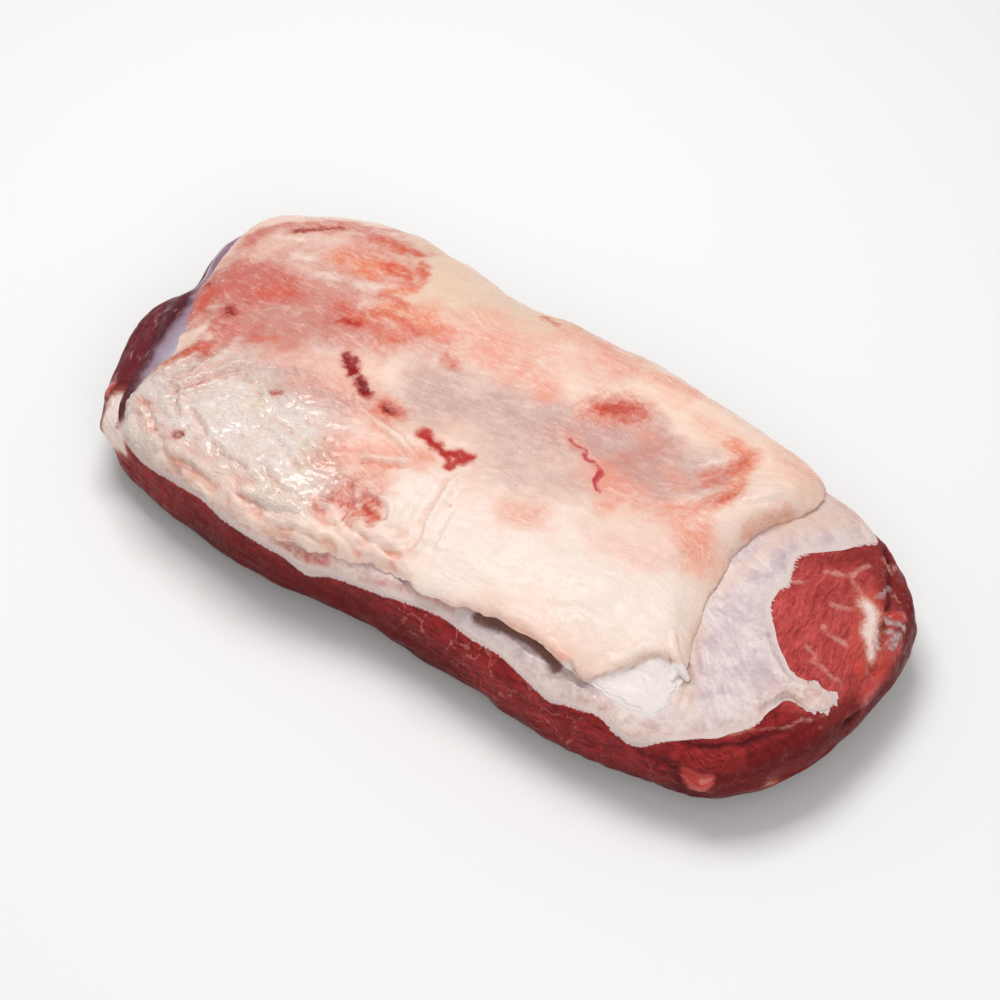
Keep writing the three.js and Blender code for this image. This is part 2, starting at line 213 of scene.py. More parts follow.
ROSY = [
    ([(-90, 32), (-65, 38), (-40, 46), (1, 35)], 4, 13, 0.9), ([(-47, 56), (-25, 57), (6, 50)], 3, 11, 0.5),
    ([(-24, 95), (7, 87), (33, 85), (67, 82)], 4, 12, 0.8),
    ([(-86, 56), (-46, 68), (-9, 72), (28, 74)], 3, 13, 0.5),
    ([(92, 30), (104, 30), (113, 38), (118, 52), (117, 65)], 3, 9, 0.65),
    ([(106, 6), (120, 14), (125, 30), (121, 48)], 2, 8, 0.6),
    ([(-128, -108), (-96, -112), (-62, -114)], 4, 7, 0.5), ([(40, -48), (55, -45)], 3, 12, 0.45),
    ([(60, -2), (88, 6), (110, -4), (131, -9)], 5, 16, 0.55),
    ([(90, -34), (112, -30), (126, -20)], 3, 14, 0.35), ([(-60, -66), (-38, -54), (-22, -48)], 9, 9, 0.85),
    ([(-46, -80), (-26, -76), (-18, -86), (-38, -90)], 5, 8, 0.8),
    ([(-190, -86), (-172, -85), (-150, -98), (-128, -108)], 1, 5, 0.6),
    ([(-92, -36), (-70, -44), (-60, -30)], 4, 14, 0.5), ([(-36, -99), (-10, -103), (10, -101)], 2, 6, 0.5),
    ([(-130, -22), (-90, -26), (-60, -30)], 7, 18, 0.5), ([(58, 12), (66, 0), (70, -8)], 4, 10, 0.7),
    ([(30, 36), (44, 44), (64, 40)], 5, 12, 0.6), ([(-148, 60), (-132, 62), (-116, 56)], 4, 14, 0.6),
    ([(-160, -66), (-148, -46)], 3, 8, 0.6), ([(-60, -62), (-42, -66), (-28, -65)], 5, 8, 0.5),
]
AMBER = [
    ([(-182, -60), (-175, -50), (-170, -40)], 6, 4, 0.75),
    ([(-108, 25), (-104, 34), (-97, 43), (-81, 45), (-70, 43)], 3, 9, 0.85),
    ([(-150, 61), (-142, 65), (-131, 65)], 3, 13, 0.7), ([(-112, 52), (-105, 56), (-101, 63)], 1, 5, 0.8),
    ([(-136, 59), (-128, 66), (-120, 70)], 3, 6, 0.9), ([(82, 68), (106, 63), (115, 61)], 2, 10, 0.35),
    ([(130, 80), (144, 66), (149, 78)], 4, 13, 0.4),
    ([(106, 63), (118, 52), (122, 36), (125, 22)], 1, 8, 0.6),
    ([(117, 1), (129, -9), (132, -18)], 2, 13, 0.3), ([(106, 9), (121, 3), (124, -10)], 3, 13, 0.35),
    ([(38, -44), (49, -43)], 3, 13, 0.3), ([(142, 14), (147, 28), (152, 40)], 1, 5, 0.5),
    ([(40, -108), (70, -106), (110, -107)], 2, 8, 0.4),
]
PEACHY = [
    ([(122, 84), (136, 82), (147, 76), (158, 66)], 9, 16), ([(60, 76), (90, 68), (120, 64)], 12, 24, 0.7),
    ([(-192, -98), (-184, -84), (-172, -92)], 9, 10, 0.8),
    ([(-110, -114), (-60, -112), (-10, -104)], 8, 12, 0.5), ([(-120, -62), (-90, -60)], 8, 12, 0.4),
]
BEIGE = [
    ([(-122, 96), (-95, 86), (-67, 84), (-43, 84), (-20, 96)], 16, 16),
    ([(-98, 60), (-76, 64)], 12, 16, 0.8),
]
CREAMY_SHEET = [
    ([(24, -80), (60, -68), (100, -58), (132, -62)], 30, 22), ([(-14, -74), (-4, -62)], 10, 12),
    ([(-132, 52), (-116, 52)], 7, 9, 0.7), ([(-176, 58), (-166, 58)], 2, 7, 0.7),
    ([(-166, 40), (-154, 44)], 2, 6, 0.7), ([(120, -10), (140, 10), (150, 40)], 9, 14, 0.6),
]
VEIL = [
    ([(-47, 2), (-31, 5), (-12, 10), (8, 14)], 12, 24, 0.9), ([(4, -16), (24, -14), (46, -16)], 8, 22, 0.6),
    ([(26, 18), (46, 26), (59, 42)], 8, 18, 0.8), ([(60, 30), (84, 36), (103, 38)], 12, 20),
    ([(50, 22), (72, 20), (90, 18)], 8, 18, 0.9), ([(-160, -10), (-141, -4), (-113, -6)], 6, 16, 0.8),
    ([(-150, -28), (-126, -30), (-104, -36)], 6, 20, 0.6), ([(-78, -36), (-70, -24)], 6, 14, 0.5),
    ([(-178, -76), (-158, -78)], 6, 16, 0.3), ([(-176, -110), (-150, -112)], 5, 10, 0.5),
]
PALE = [
    ([(-193, 55), (-181, 61)], 1.2, 2.4), ([(-173, 45), (-163, 49)], 1.4, 2.4),
    ([(-127, 47), (-121, 51), (-115, 57)], 3.6, 4), ([(-150, 40), (-140, 44)], 1.4, 4),
    ([(100, 40), (108, 50)], 0.6, 2),
]
STAIN = [
    ([(-127, 71), (-119, 74), (-112, 72), (-108, 68), (-116, 65), (-124, 68)], 2.2, 2.4),
    ([(-110, 78), (-104, 76), (-102, 71)], 2.4, 2.2), ([(-146, 88), (-136, 89), (-128, 88)], 4.4, 4),
    ([(-124, 91), (-118, 90)], 2.2, 1.8), ([(-112, 84), (-106, 82)], 1.4, 1.8),
    ([(-34, 92), (-23, 89)], 2.2, 2), ([(-56, 29), (-47, 25)], 2.2, 4),
    ([(-126, 56), (-112, 60), (-104, 64)], 1.2, 4), ([(-112, 47), (-104, 48), (-96, 46)], 2.2, 3),
    ([(-124, 26), (-104, 20), (-84, 22)], 2, 5), ([(-104, 34), (-90, 36), (-78, 34)], 2.2, 4),
    ([(-150, -18), (-140, -14)], 1.4, 3.5), ([(-179, -56), (-172, -47), (-168, -40)], 1.6, 5),
    ([(-199, 4), (-197, -4)], 2, 4), ([(-202, -4), (-196, -10)], 3, 4), ([(-60, -24), (-50, -22)], 3, 5),
    ([(-168, 14), (-158, 18)], 2.4, 6), ([(106, 36), (114, 44), (117, 56)], 1.4, 5),
    ([(120, 16), (125, 30)], 1, 5), ([(34, 40), (50, 54)], 4, 7),
    ([(-24, -78), (-18, -84), (-26, -90)], 1.4, 4),
]
SMEAR = [
    ([(-30, -27), (-25, -28), (-19, -30)], 3.2, 1.5), ([(-19, -30), (-13, -31)], 2, 1.3),
    ([(-13, -31), (0, -26)], 2.7, 1.4), ([(-12, -32), (-6, -36), (0, -27), (-5, -31)], 2.4, 1.4),
    ([(36, 45), (44, 49), (50, 52)], 1.6, 7), ([(36, 44), (44, 48)], 1.6, 4.4),
    ([(-117, 17), (-108, 18)], 2, 2.2), ([(-113, -47), (-111, -46)], 0.9, 1.8),
    ([(-26, -82), (-21, -86)], 0.7, 2.4),
]
BLOOD = [
    ([(-98, -4), (-94, -6)], 2.6, 1.6), ([(-94, -6), (-88, -11)], 3.6, 1.5),
    ([(-82, -14), (-76, -19), (-72, -21)], 3, 1.8), ([(-58, -21), (-53, -23)], 1.8, 3),
    ([(-190, 66), (-180, 77), (-171, 86)], 1.4, 2.2), ([(-178, -7), (-173, -10)], 2, 3.6),
    ([(10, -59)], 0.5, 1.2), ([(-210, 6), (-206, 8)], 2, 2), ([(-142, -94), (-140, -95)], 0.8, 1.8),
]
CLOT = [
    ([(-80, -16), (-75, -19)], 1.4, 1.8), ([(-56, -22)], 1, 2.6),
]
# The silverskin: the border of the dark flesh under its left end, where it is puffed up, where it is brownish
# beside the fat and reddish under the fat's edge, both with painted shade, its creases with their depth and
# width, and painted shadows in the crevices beside the fat, with their width and share.
LOBE_BORDER = [(-240, 70), (-226, 20), (-211, -2), (-208, -7), (-202, -31), (-197, -51), (-190, -69),
               (-184, -85), (-186, -97)]
PUFFY = [
    ([(14, -110, 50), (50, -108, 52), (90, -110, 52), (128, -112, 48)], 8, 9),
]
BROWNISH_SHADE = [
    ([(146, -26), (150, -10), (152, 6), (156, 24)], 2, 7, 0.6), ([(153, 34), (160, 46), (170, 60)], 9, 9),
    ([(152, -46), (158, -62), (168, -84)], 2, 7, 0.7), ([(166, -78), (172, -92)], 3, 9, 0.5),
]
UNDERCUT_SHADE = [
    ([(-72, -117, 56), (-58, -117, 54), (-44, -114, 53), (-32, -111, 53)], 2.6, 3),
    ([(0, -107, 54), (24, -104, 56), (44, -103, 57)], 1, 2.6, 0.5),
]
SKIN_CREASES = [
    ([(128, -103, 60), (128, -107, 56), (130, -112, 52)], 1.2, 1.1),
    ([(160, -56, 60), (168, -66, 59)], 0.6, 1.4), ([(165, -76, 58), (169, -90, 56)], 0.6, 1.4),
    ([(40, -108, 52), (60, -106, 53), (84, -110, 50)], 0.8, 1.6),
    ([(22, -110, 48), (44, -112, 49)], 0.7, 1.4), ([(92, -112, 48), (112, -115, 46)], 0.6, 1.4),
]
CREVICE_SHADOWS = [
    ([(58, -100), (72, -99), (90, -99), (100, -101), (107, -104)], 3.2, 1),
    ([(160, -68), (163, -72), (167, -76), (163, -80)], 2.6, 0.45),
]
# The lean: lumps and hollows with their spread and height, and grooves with their width and depth.
LEAN_LUMPS = [
    ((226, -12, 46), 5, 2.6), ((232, -4, 42), 4, -3), ((225, 31, 44), 3.6, 2.6), ((213, 34, 49), 3.5, 1.4),
    ((229, 18, 44), 5, 2.4), ((222, 18, 47), 2.6, -2.4), ((217, 42, 45), 6, -1.6),
    ((192, -105, 31), 7, 4.6), ((187, -110, 14), 5, 3), ((178, -112, 12), 4, -2), ((216, -86, 22), 6, 2),
    ((192, -82, 54), 13, 1.6), ((-206, -77, 44), 5, 2.5), ((-200, -94, 36), 6, 2.5),
    ((-190, -98, 33), 6, 2),
]
LEAN_GROOVES = [
    ([(161, -112, 40), (190, -106, 36), (212, -85, 36), (227, -55, 36), (235, -25, 32)], 2.6, 2.2),
    ([(180, -104, 50), (190, -97, 50), (203, -86, 49), (214, -66, 49)], 1.8, 1.6),
    ([(161, -112, 32), (185, -107, 29), (211, -86, 28), (226, -58, 27)], 2, 2),
    ([(222, -24, 44), (228, -12, 42), (232, 4, 38)], 2, 2.4),
    ([(196, 66, 46), (204, 58, 46), (213, 44, 47), (222, 22, 46), (226, 6, 45)], 2, 1.6),
    ([(-212, -60, 40), (-222, -38, 42), (-226, -12, 44), (-224, 6, 46)], 2.5, 1.4),
]
# Pale seams between the muscles, with their width.
SEAMS = [
    ([(184, 25, 58), (190, 28, 56), (194, 30, 55), (199, 29, 54), (204, 28, 53), (210, 26, 50)], 0.9),
    ([(194, 30, 55), (196, 38, 54), (198, 45, 52)], 1.3), ([(210, 26, 50), (216, 24, 49)], 2),
    ([(197, 9, 56), (203, 12, 55), (209, 17, 53)], 1), ([(200, -6, 56), (205, -8, 55), (214, -6, 51)], 1),
    ([(200, -22, 54), (209, -25, 53)], 0.6), ([(206, -26, 52), (214, -26, 51), (225, -26, 47)], 0.6),
    ([(174, 7, 60), (179, 11, 59)], 0.8), ([(201, 55, 50), (205, 55, 47), (209, 54, 46)], 1.3),
    ([(207, 56, 45), (209, 62, 42)], 0.7), ([(217, 42, 45), (220, 42, 44), (225, 42, 42)], 0.7),
    ([(221, 2, 48), (225, -1, 46), (229, -4, 45)], 1.4),
    ([(183, -98, 52), (197, -84, 51), (211, -68, 49), (222, -52, 47), (226, -43, 44)], 0.2),
    ([(226, -52, 42), (230, -44, 36)], 0.7), ([(170, -110, 38), (186, -105, 38)], 0.6),
    ([(-205, -80, 46), (-212, -60, 47), (-218, -40, 48)], 0.8),
]
# Bands of colour on the lean.
CREAMY = [
    ([(210, 22, 51), (215, 18, 50), (218, 13, 49), (220, 8, 48)], 4, 2.6),
    ([(221, 5, 48), (224, 2, 47), (226, -1, 46)], 2.2, 2.4), ([(222, 12, 48), (225, 6, 46)], 1.4, 1.8),
    ([(216, -82, 21), (219, -78, 18)], 0.8, 1.6),
    ([(-196, -86, 49), (-194, -93, 44), (-192, -98, 37), (-183, -100, 40)], 7, 2),
    ([(-190, -99, 34), (-178, -103, 38)], 3.4, 2),
]
GREY_TISSUE = [
    ([(211, 33, 49), (212, 39, 48), (213, 44, 46)], 1.6),
    ([(221, 24, 46), (225, 25, 44), (229, 27, 42)], 1.6),
    ([(226, 18, 45), (229, 20, 43), (230, 13, 43)], 2.4),
]
SCARLET = [
    ([(226, -12, 46)], 4.5), ([(224, 30, 44), (226, 33, 43)], 3),
    ([(207, 30, 51), (212, 29, 49), (217, 27, 47), (221, 27, 46)], 2),
    ([(234, 17, 41), (234, 6, 41), (234, -8, 40), (235, -20, 38)], 2.6, 3),
    ([(209, 18, 52), (213, 8, 51), (216, 2, 50), (219, -5, 49)], 1.5, 4),
    ([(186, -107, 36), (194, -104, 34), (190, -106, 26), (186, -109, 32)], 3.6), ([(186, -110, 14)], 3),
    ([(-208, -76, 45)], 4),
]
BROWN_FLESH = [
    ([(203, 62, 46), (212, 52, 44), (219, 44, 43), (226, 40, 41), (230, 32, 40)], 9, 7),
    ([(186, 48, 55), (194, 52, 52), (202, 46, 51), (210, 44, 48)], 5, 7, 0.8),
    ([(221, 43, 43), (229, 33, 42), (234, 24, 38), (236, 8, 34)], 7, 6),
    ([(170, 24, 60), (181, 34, 57), (192, 48, 52)], 4, 9, 0.55),
    ([(195, 20, 56), (200, 32, 54)], 2, 8, 0.3),
]
# Darker flesh low on the front and along the lower right, partly painted shade.
DEEP_RED_AND_SHADE = [
    ([(-120, -112, 26), (-70, -118, 28), (-10, -116, 28), (40, -116, 24)], 11, 13),
    ([(184, -106, 24), (205, -94, 32), (216, -80, 38), (228, -58, 34), (236, -34, 30)], 10, 9),
    ([(224, 46, 38), (235, 28, 33), (240, 8, 29), (238, -20, 26)], 6, 8),
    ([(233, -28, 41), (226, -46, 42), (214, -66, 46)], 5, 7, 0.6),
]
MARBLED = [
    ([(20, -112, 46), (50, -114, 42), (92, -117, 36), (128, -117, 30)], 12, 14),
    ([(205, 20, 54), (212, 44, 46), (222, 0, 47)], 9, 10, 0.7),
    ([(170, -110, 30), (205, -92, 28), (225, -58, 30)], 10, 12, 0.35),
]
CUT_FACE = [([(182, 22, 58), (200, 12, 55), (205, -18, 53)], 38, 16)]
LONG_FRINGE = [([(172, -14, 61), (170, 6, 62), (172, 24, 61), (182, 44, 57)], 8, 10)]
LEFT_LOBES = [([(-226, 50, 40), (-232, 20, 40), (-228, -20, 40), (-214, -66, 40)], 34, 10)]


def display(red, green, blue):
    """A colour as a screen shows it, 0 to 255, in Blender's linear values."""

    def linear(value):
        share = value / 255
        return share / 12.92 if share <= 0.04045 else ((share + 0.055) / 1.055) ** 2.4

    return (linear(red), linear(green), linear(blue))


def shaded(colour, *factors):
    """A colour with its red, green and blue multiplied."""
    factors = factors if len(factors) == 3 else factors * 3
    return tuple(channel * factor for channel, factor in zip(colour, factors))


TORN_EDGE = display(228, 205, 200)


def colour_setting(name, description, red, green, blue):
    return bpy.props.FloatVectorProperty(
        name=name, description=description, subtype="COLOR", size=3, min=0, max=1,
        default=display(red, green, blue))


def length_setting(name, description, default):
    return bpy.props.FloatProperty(
        name=name, description=description, subtype="DISTANCE", unit="LENGTH", min=0, default=default)


class LeanSettings(bpy.types.PropertyGroup):
    flesh: colour_setting("Flesh", "Muscle on the sides", 170, 46, 46)
    cut_flesh: colour_setting("Cut flesh", "Fresh muscle on the bare end", 214, 88, 84)
    # Deep flesh also serves as the painted shade in the grooves and towards the foot.
    deep_flesh_and_shade: colour_setting("Deep flesh", "Muscle in grooves and near the foot", 58, 4, 8)
    lilac_flesh: colour_setting("Lilac flesh", "Muscle under its thin skin at the left end", 98, 22, 36)
    pale_skin: colour_setting("Pale skin", "Shreds of skin on that muscle", 196, 134, 134)
    scarlet: colour_setting("Scarlet", "Torn bits of wet muscle", 212, 66, 54)
    marbling: colour_setting("Marbling", "Fat between the muscles", 232, 166, 152)
    tallow: colour_setting("Tallow", "Lumps of fat left on the lean", 252, 232, 222)
    glow: colour_setting("Glow", "Orange muscle round the lumps of fat", 226, 118, 86)
    grey: colour_setting("Grey", "Dark parts of the loose tissue", 178, 140, 140)
    light_grey: colour_setting("Light grey", "Light parts of the loose tissue", 212, 190, 192)
    fibre: length_setting("Fibre", "Height of the fibres on the cut face", 0.4 * MM)


class SilverskinSettings(bpy.types.PropertyGroup):
    membrane: colour_setting("Membrane", "The thin skin over the lean", 229, 213, 210)
    lilac: colour_setting("Lilac", "Flesh showing through the skin", 203, 184, 190)
    cream: colour_setting("Cream", "Shreds of fat left on the skin", 240, 223, 212)
    fatty: colour_setting("Fatty", "Thin fat on the front strip", 241, 219, 207)
    fatty_pink: colour_setting("Fatty pink", "Pink parts of that fat", 222, 180, 166)
    # Brownish skin with painted shade beside the fat's edge.
    brown: colour_setting("Brown", "Drier skin beside the fat", 226, 196, 178)
    blue: colour_setting("Blue", "The cold skin over the left end", 181, 175, 189)
    purple: colour_setting("Purple", "Flesh under the cold skin", 130, 88, 116)
    flesh: colour_setting("Flesh", "Flesh right under the skin of the left end", 96, 26, 40)
    shreds: colour_setting("Shreds", "Shreds of skin on that flesh", 196, 130, 136)
    # Reddish flesh in painted shade under the fat's edge.
    undercut_shade: colour_setting("Undercut", "Bare flesh under the fat's edge", 196, 104, 94)
    # Painted shadow in the crevices beside the fat, under its lip and its tongue.
    gap: colour_setting("Gap", "Crevices beside the fat", 116, 74, 64)
    rim_thickness: length_setting("Rim thickness", "Thickness at the torn edge", 0.2 * MM)
    tear: length_setting("Tear", "How far the torn edge comes and goes", 2.6 * MM)


class FatSettings(bpy.types.PropertyGroup):
    flush: colour_setting("Flush", "The warm tone of most of the fat", 243, 213, 197)
    cream: colour_setting("Cream", "The smooth sheet of fat", 247, 228, 216)
    white: colour_setting("White", "Wet loose fat at the left end", 252, 238, 231)
    mauve: colour_setting("Mauve", "Thin cold skin over the wet fat", 222, 206, 207)
    pink: colour_setting("Pink", "Pink streaks in the wet fat", 246, 212, 200)
    yellow: colour_setting("Yellow", "Yellowish patches of the wet fat", 248, 230, 208)
    beige: colour_setting("Beige", "Drier fat along the back", 232, 201, 177)
    peach: colour_setting("Peach", "Warm fat of the right-hand roll", 253, 220, 200)
    amber: colour_setting("Amber", "Orange fat", 231, 130, 92)
    dusky: colour_setting("Dusky", "Flesh that shows faintly through the fat", 204, 134, 122)
    salmon: colour_setting("Salmon", "Flesh that shows strongly through the fat", 201, 94, 84)
    rose: colour_setting("Rose", "Pink streaks", 234, 150, 128)
    veil: colour_setting("Veil", "Cold grey skin over the middle", 184, 148, 144)
    rim: colour_setting("Rim", "The warm edge at the right end", 240, 190, 166)
    # Painted shade: a reddish tone on the undersides of the lumps.
    under: colour_setting("Under", "Red flesh on the underside of the lumps", 206, 112, 98)
    ply: colour_setting("Ply", "The white ply under the lip", 241, 231, 228)
    # Painted shadow along the line where the ply comes out under the lip.
    ply_lip_shadow: colour_setting("Ply line", "The line where the ply comes out", 206, 160, 138)
    stain: colour_setting("Stain", "Orange-red stains", 210, 76, 40)
    smear: colour_setting("Smear", "Smears of fresh blood", 180, 26, 8)
    blood: colour_setting("Blood", "Spots of blood", 146, 0, 10)
    clot: colour_setting("Clot", "Dried, dark blood", 84, 0, 14)
    slit: colour_setting("Slit", "The thin crack in the middle", 196, 62, 72)
    wrinkle: length_setting("Wrinkle", "Height of the wrinkles of the wet fat", 0.9 * MM)
    ragged: length_setting("Ragged", "How far the fat's edge comes and goes", 2.2 * MM)


class StageSettings(bpy.types.PropertyGroup):
    floor: colour_setting("Floor", "The plain floor", 245, 245, 244)
    lens: bpy.props.FloatProperty(
        name="Lens", description="Focal length in millimetres", subtype="DISTANCE_CAMERA", default=85.0)
    distance: length_setting("Distance", "Camera to the middle of the piece", 1.258)
    azimuth: bpy.props.FloatProperty(
        name="Azimuth", description="Camera's turn round the piece", subtype="ANGLE",
        default=math.radians(35))
    elevation: bpy.props.FloatProperty(
        name="Elevation", description="Camera's height", subtype="ANGLE", default=math.radians(47.5))
    key: bpy.props.FloatProperty(
        name="Key light", description="Power of the large soft light", subtype="POWER", unit="POWER",
        default=13)
    fill: bpy.props.FloatProperty(
        name="Fill light", description="Power of the front light", subtype="POWER", unit="POWER", default=5)
    sky: bpy.props.FloatProperty(name="Sky", description="Strength of the surrounding light", default=0.41)


def smooth(values, low, high):
    """0 at the low value and 1 at the high one, with a soft start and end."""
    share = np.clip((values - low) / (high - low), 0, 1)
    return share * share * (3 - 2 * share)


def bell(distance, spread):
    return np.exp(-((distance / spread) ** 2))


LATTICE_STEPS = np.array([73856093, 19349663, 83492791], dtype=np.uint64)
LATTICE_SLOPES = np.array([
    (1, 1, 0), (-1, 1, 0), (1, -1, 0), (-1, -1, 0), (1, 0, 1), (-1, 0, 1),
    (1, 0, -1), (-1, 0, -1), (0, 1, 1), (0, -1, 1), (0, 1, -1), (0, -1, -1)], float)


def lattice_slopes(cells, seed):
    """A fixed random slope for each whole-numbered corner of the lattice."""
    mixed = (cells.astype(np.int64).view(np.uint64) * LATTICE_STEPS).sum(axis=1, dtype=np.uint64)
    mixed = mixed + np.uint64(seed * 40503)
    for shift, factor in ((15, 2246822519), (13, 3266489917)):
        mixed = (mixed ^ (mixed >> np.uint64(shift))) * np.uint64(factor)
    mixed = mixed ^ (mixed >> np.uint64(16))
    return LATTICE_SLOPES[((mixed >> np.uint64(5)) % np.uint64(len(LATTICE_SLOPES))).astype(int)]


def noise(points, size, seed):
    """Smooth random values, mostly between -1 and 1, in cells of a size for each axis."""
    places = points / size
    cells = np.floor(places)
    inside = places - cells
    blend = inside**3 * (inside * (inside * 6 - 15) + 10)
    total = np.zeros(len(points))
    for corner in np.ndindex(2, 2, 2):
        weight = np.prod(np.where(corner, blend, 1 - blend), axis=1)
        total += weight * np.einsum("ij,ij->i", lattice_slopes(cells + corner, seed), inside - corner)
    return 1.5 * total


def layers(points, size, seed, count):
    """Noise with finer and weaker layers over it."""
    total = np.zeros(len(points))
    for layer in range(count):
        total += noise(points, np.asarray(size, float) / 2**layer, seed + layer) / 2**layer
    return total


def creases(points, size, seed):
    """Rounded ridges with narrow valleys between them, from -1 to 1."""
    return 2 * np.sqrt(np.abs(noise(points, size, seed))) - 1


def shaken(points, size, seeds):
    """A random way for each point, from one noise for each axis."""
    return np.stack([noise(points, size, seed) for seed in seeds], axis=1)


def turned(points, heading, warp, seed, warp_size=14.0):
    """The points in warped axes turned about Z, so that the first runs along the heading in degrees."""
    angle = math.radians(heading)
    along = np.array([math.cos(angle), math.sin(angle), 0])
    across = np.array([-math.sin(angle), math.cos(angle), 0])
    result = np.stack([points @ along, points @ across, points[:, 2]], axis=1)
    result[:, 1] += warp * noise(points, warp_size, seed + 50)
    result[:, 0] += warp * noise(points, warp_size, seed + 60)
    return result


def away(points, place):
    """Distance of each point to a place, in plan where the place has two coordinates."""
    return np.linalg.norm(points[:, : len(place)] - np.array(place), axis=1)


def along_path(points, path):
    """Distance to a path, the same distance with a minus sign on its right, and the share walked."""
    corners = np.array(path, float)
    places = points[:, : corners.shape[1]]
    if len(corners) == 1:
        distance = np.linalg.norm(places - corners[0], axis=1)
        return distance, distance, np.full(len(points), 0.5)
    steps = np.diff(corners, axis=0)
    lengths = np.linalg.norm(steps, axis=1)
    nearest = np.full(len(points), np.inf)
    signed = np.zeros(len(points))
    walked = np.zeros(len(points))
    start = 0.0
    for corner, step, length in zip(corners, steps, lengths):
        way = step / length
        offset = places - corner
        run = np.clip(offset @ way, 0, length)
        distance = np.linalg.norm(offset - run[:, None] * way, axis=1)
        side = np.sign(way[0] * offset[:, 1] - way[1] * offset[:, 0])
        nearer = distance < nearest
        nearest = np.where(nearer, distance, nearest)
        signed = np.where(nearer, side * distance, signed)
        walked = np.where(nearer, (start + run) / lengths.sum(), walked)
        start += length
    return nearest, signed, walked


def near(points, path, spread):
    """1 on a path, fading out as far from it as the spread says."""
    return bell(along_path(points, path)[0], spread)


def swell(points, swells):
    """Broad rises and hollows."""
    height = np.zeros(len(points))
    for path, spread, most in swells:
        height += most * near(points, path, spread)
    return height


def tab_reach(edge, tabs):
    """How far an edge is drawn out by its tabs, and in by its bays."""
    return sum(reach * bell(away(edge, place), spread) for place, spread, reach in tabs)


def fold_relief(points, folds):
    """Ridges with a groove beside each, fading out at their ends."""
    relief = np.zeros(len(points))
    wander = 1.0 * noise(points, 5, 41)
    for path, height, ridge_width, depth, groove_width in folds:
        signed, walked = along_path(points, path)[1:]
        fade = smooth(walked, 0, 0.2) * smooth(walked, 1, 0.8)
        relief += fade * height * bell(signed + wander - 1.1 * ridge_width, ridge_width)
        relief -= fade * depth * bell(signed + wander, groove_width)
    return relief


def field(points, bands):
    """How strongly soft bands cover each point, from 0 to 1."""
    bare = np.ones(len(points))
    for band in starmap(Band, bands):
        distance = along_path(points, band.path)[0]
        cover = smooth(distance, band.radius + band.soft, max(0.0, band.radius - band.soft))
        bare *= 1 - band.share * cover
    return 1 - bare


FAR_OUT = -4.0


def spots(points, places):
    """How deep inside the nearest spot each point is, in units of the softness of its edge."""
    deepest = np.full(len(points), FAR_OUT)
    for spot in starmap(Band, places):
        depth = (spot.radius - along_path(points, spot.path)[0]) / spot.soft
        deepest = np.maximum(deepest, depth)
    return deepest


def from_middle(points):
    """Offsets from the nearest place on the middle line of the lean."""
    middle = np.empty_like(points)
    middle[:, 0] = np.clip(points[:, 0], MIDDLE_LEFT, MIDDLE_RIGHT)
    middle[:, 1] = MIDDLE_Y
    middle[:, 2] = MIDDLE_HEIGHT
    return points - middle


def outwardness(points, normals):
    """1 where a surface faces away from the middle of the piece, 0 along a rim, -1 underneath."""
    slope = from_middle(points) / np.array([REACH_ACROSS, REACH_ACROSS, REACH_UP]) ** 2
    outward = slope / np.linalg.norm(slope, axis=1, keepdims=True)
    return np.einsum("ij,ij->i", outward, normals)


def grain_space(points, length, width):
    """Places in a space where grain of a length and width, running round the piece, is as long as wide."""
    offset = from_middle(points)
    turn = np.mod(np.arctan2(offset[:, 1], offset[:, 0]) + math.pi / 2, 2 * math.pi)
    walked = np.clip(points[:, 0], MIDDLE_LEFT, MIDDLE_RIGHT) - MIDDLE_LEFT
    run = REACH_ACROSS * turn + np.where(turn < math.pi - 1e-6, walked, 2 * STRAIGHT - walked)
    angle = 2 * math.pi * run / ROUND_TRIP
    radius = ROUND_TRIP / (2 * math.pi * length)
    drop = np.hypot(offset[:, 0], offset[:, 1]) - points[:, 2]
    return np.stack([radius * np.cos(angle), radius * np.sin(angle), drop / width], axis=1)


def select_only(piece):
    bpy.ops.object.select_all(action="DESELECT")
    piece.select_set(True)
    bpy.context.view_layer.objects.active = piece


def read_rows(items, name, width, kind=float):
    """One property of every point, edge or face of a mesh, in rows."""
    values = np.empty(len(items) * width, dtype=kind)
    items.foreach_get(name, values)
    return values.reshape(-1, width)


def shape_of(piece):
    """The points of a piece in millimetres and its normals there."""
    vertices = piece.data.vertices
    return read_rows(vertices, "co", 3) / MM, read_rows(vertices, "normal", 3)


def face_values(piece):
    """Middles in millimetres, normals and areas in square millimetres of a piece's faces."""
    faces = piece.data.polygons
    areas = read_rows(faces, "area", 1)[:, 0]
    return read_rows(faces, "center", 3) / MM, read_rows(faces, "normal", 3), areas / MM**2


def move_points(piece, points):
    piece.data.vertices.foreach_set("co", (points * MM).ravel())
    piece.data.update()


def keep_values(piece, values):
    """Stores named values for each point, for the material to read."""
    for name, row in values.items():
        attribute = piece.data.attributes.new(name, "FLOAT", "POINT")
        attribute.data.foreach_set("value", np.asarray(row, dtype=np.float32))


def point_tree(points):
    tree = KDTree(len(points))
    for index, point in enumerate(points):
        tree.insert(point, index)
    tree.balance()
    return tree


def surface_tree(piece):
    return BVHTree.FromObject(piece, bpy.context.evaluated_depsgraph_get())


def borrow_values(piece, source):
    """Copies the values kept for the nearest points of another piece."""
    tree = point_tree(shape_of(source)[0])
    nearest = np.array([tree.find(point)[1] for point in shape_of(piece)[0]])
    for attribute in source.data.attributes:
        if attribute.data_type == "FLOAT" and attribute.domain == "POINT":
            values = read_rows(attribute.data, "value", 1, np.float32)[nearest, 0]
            keep_values(piece, {attribute.name: values})


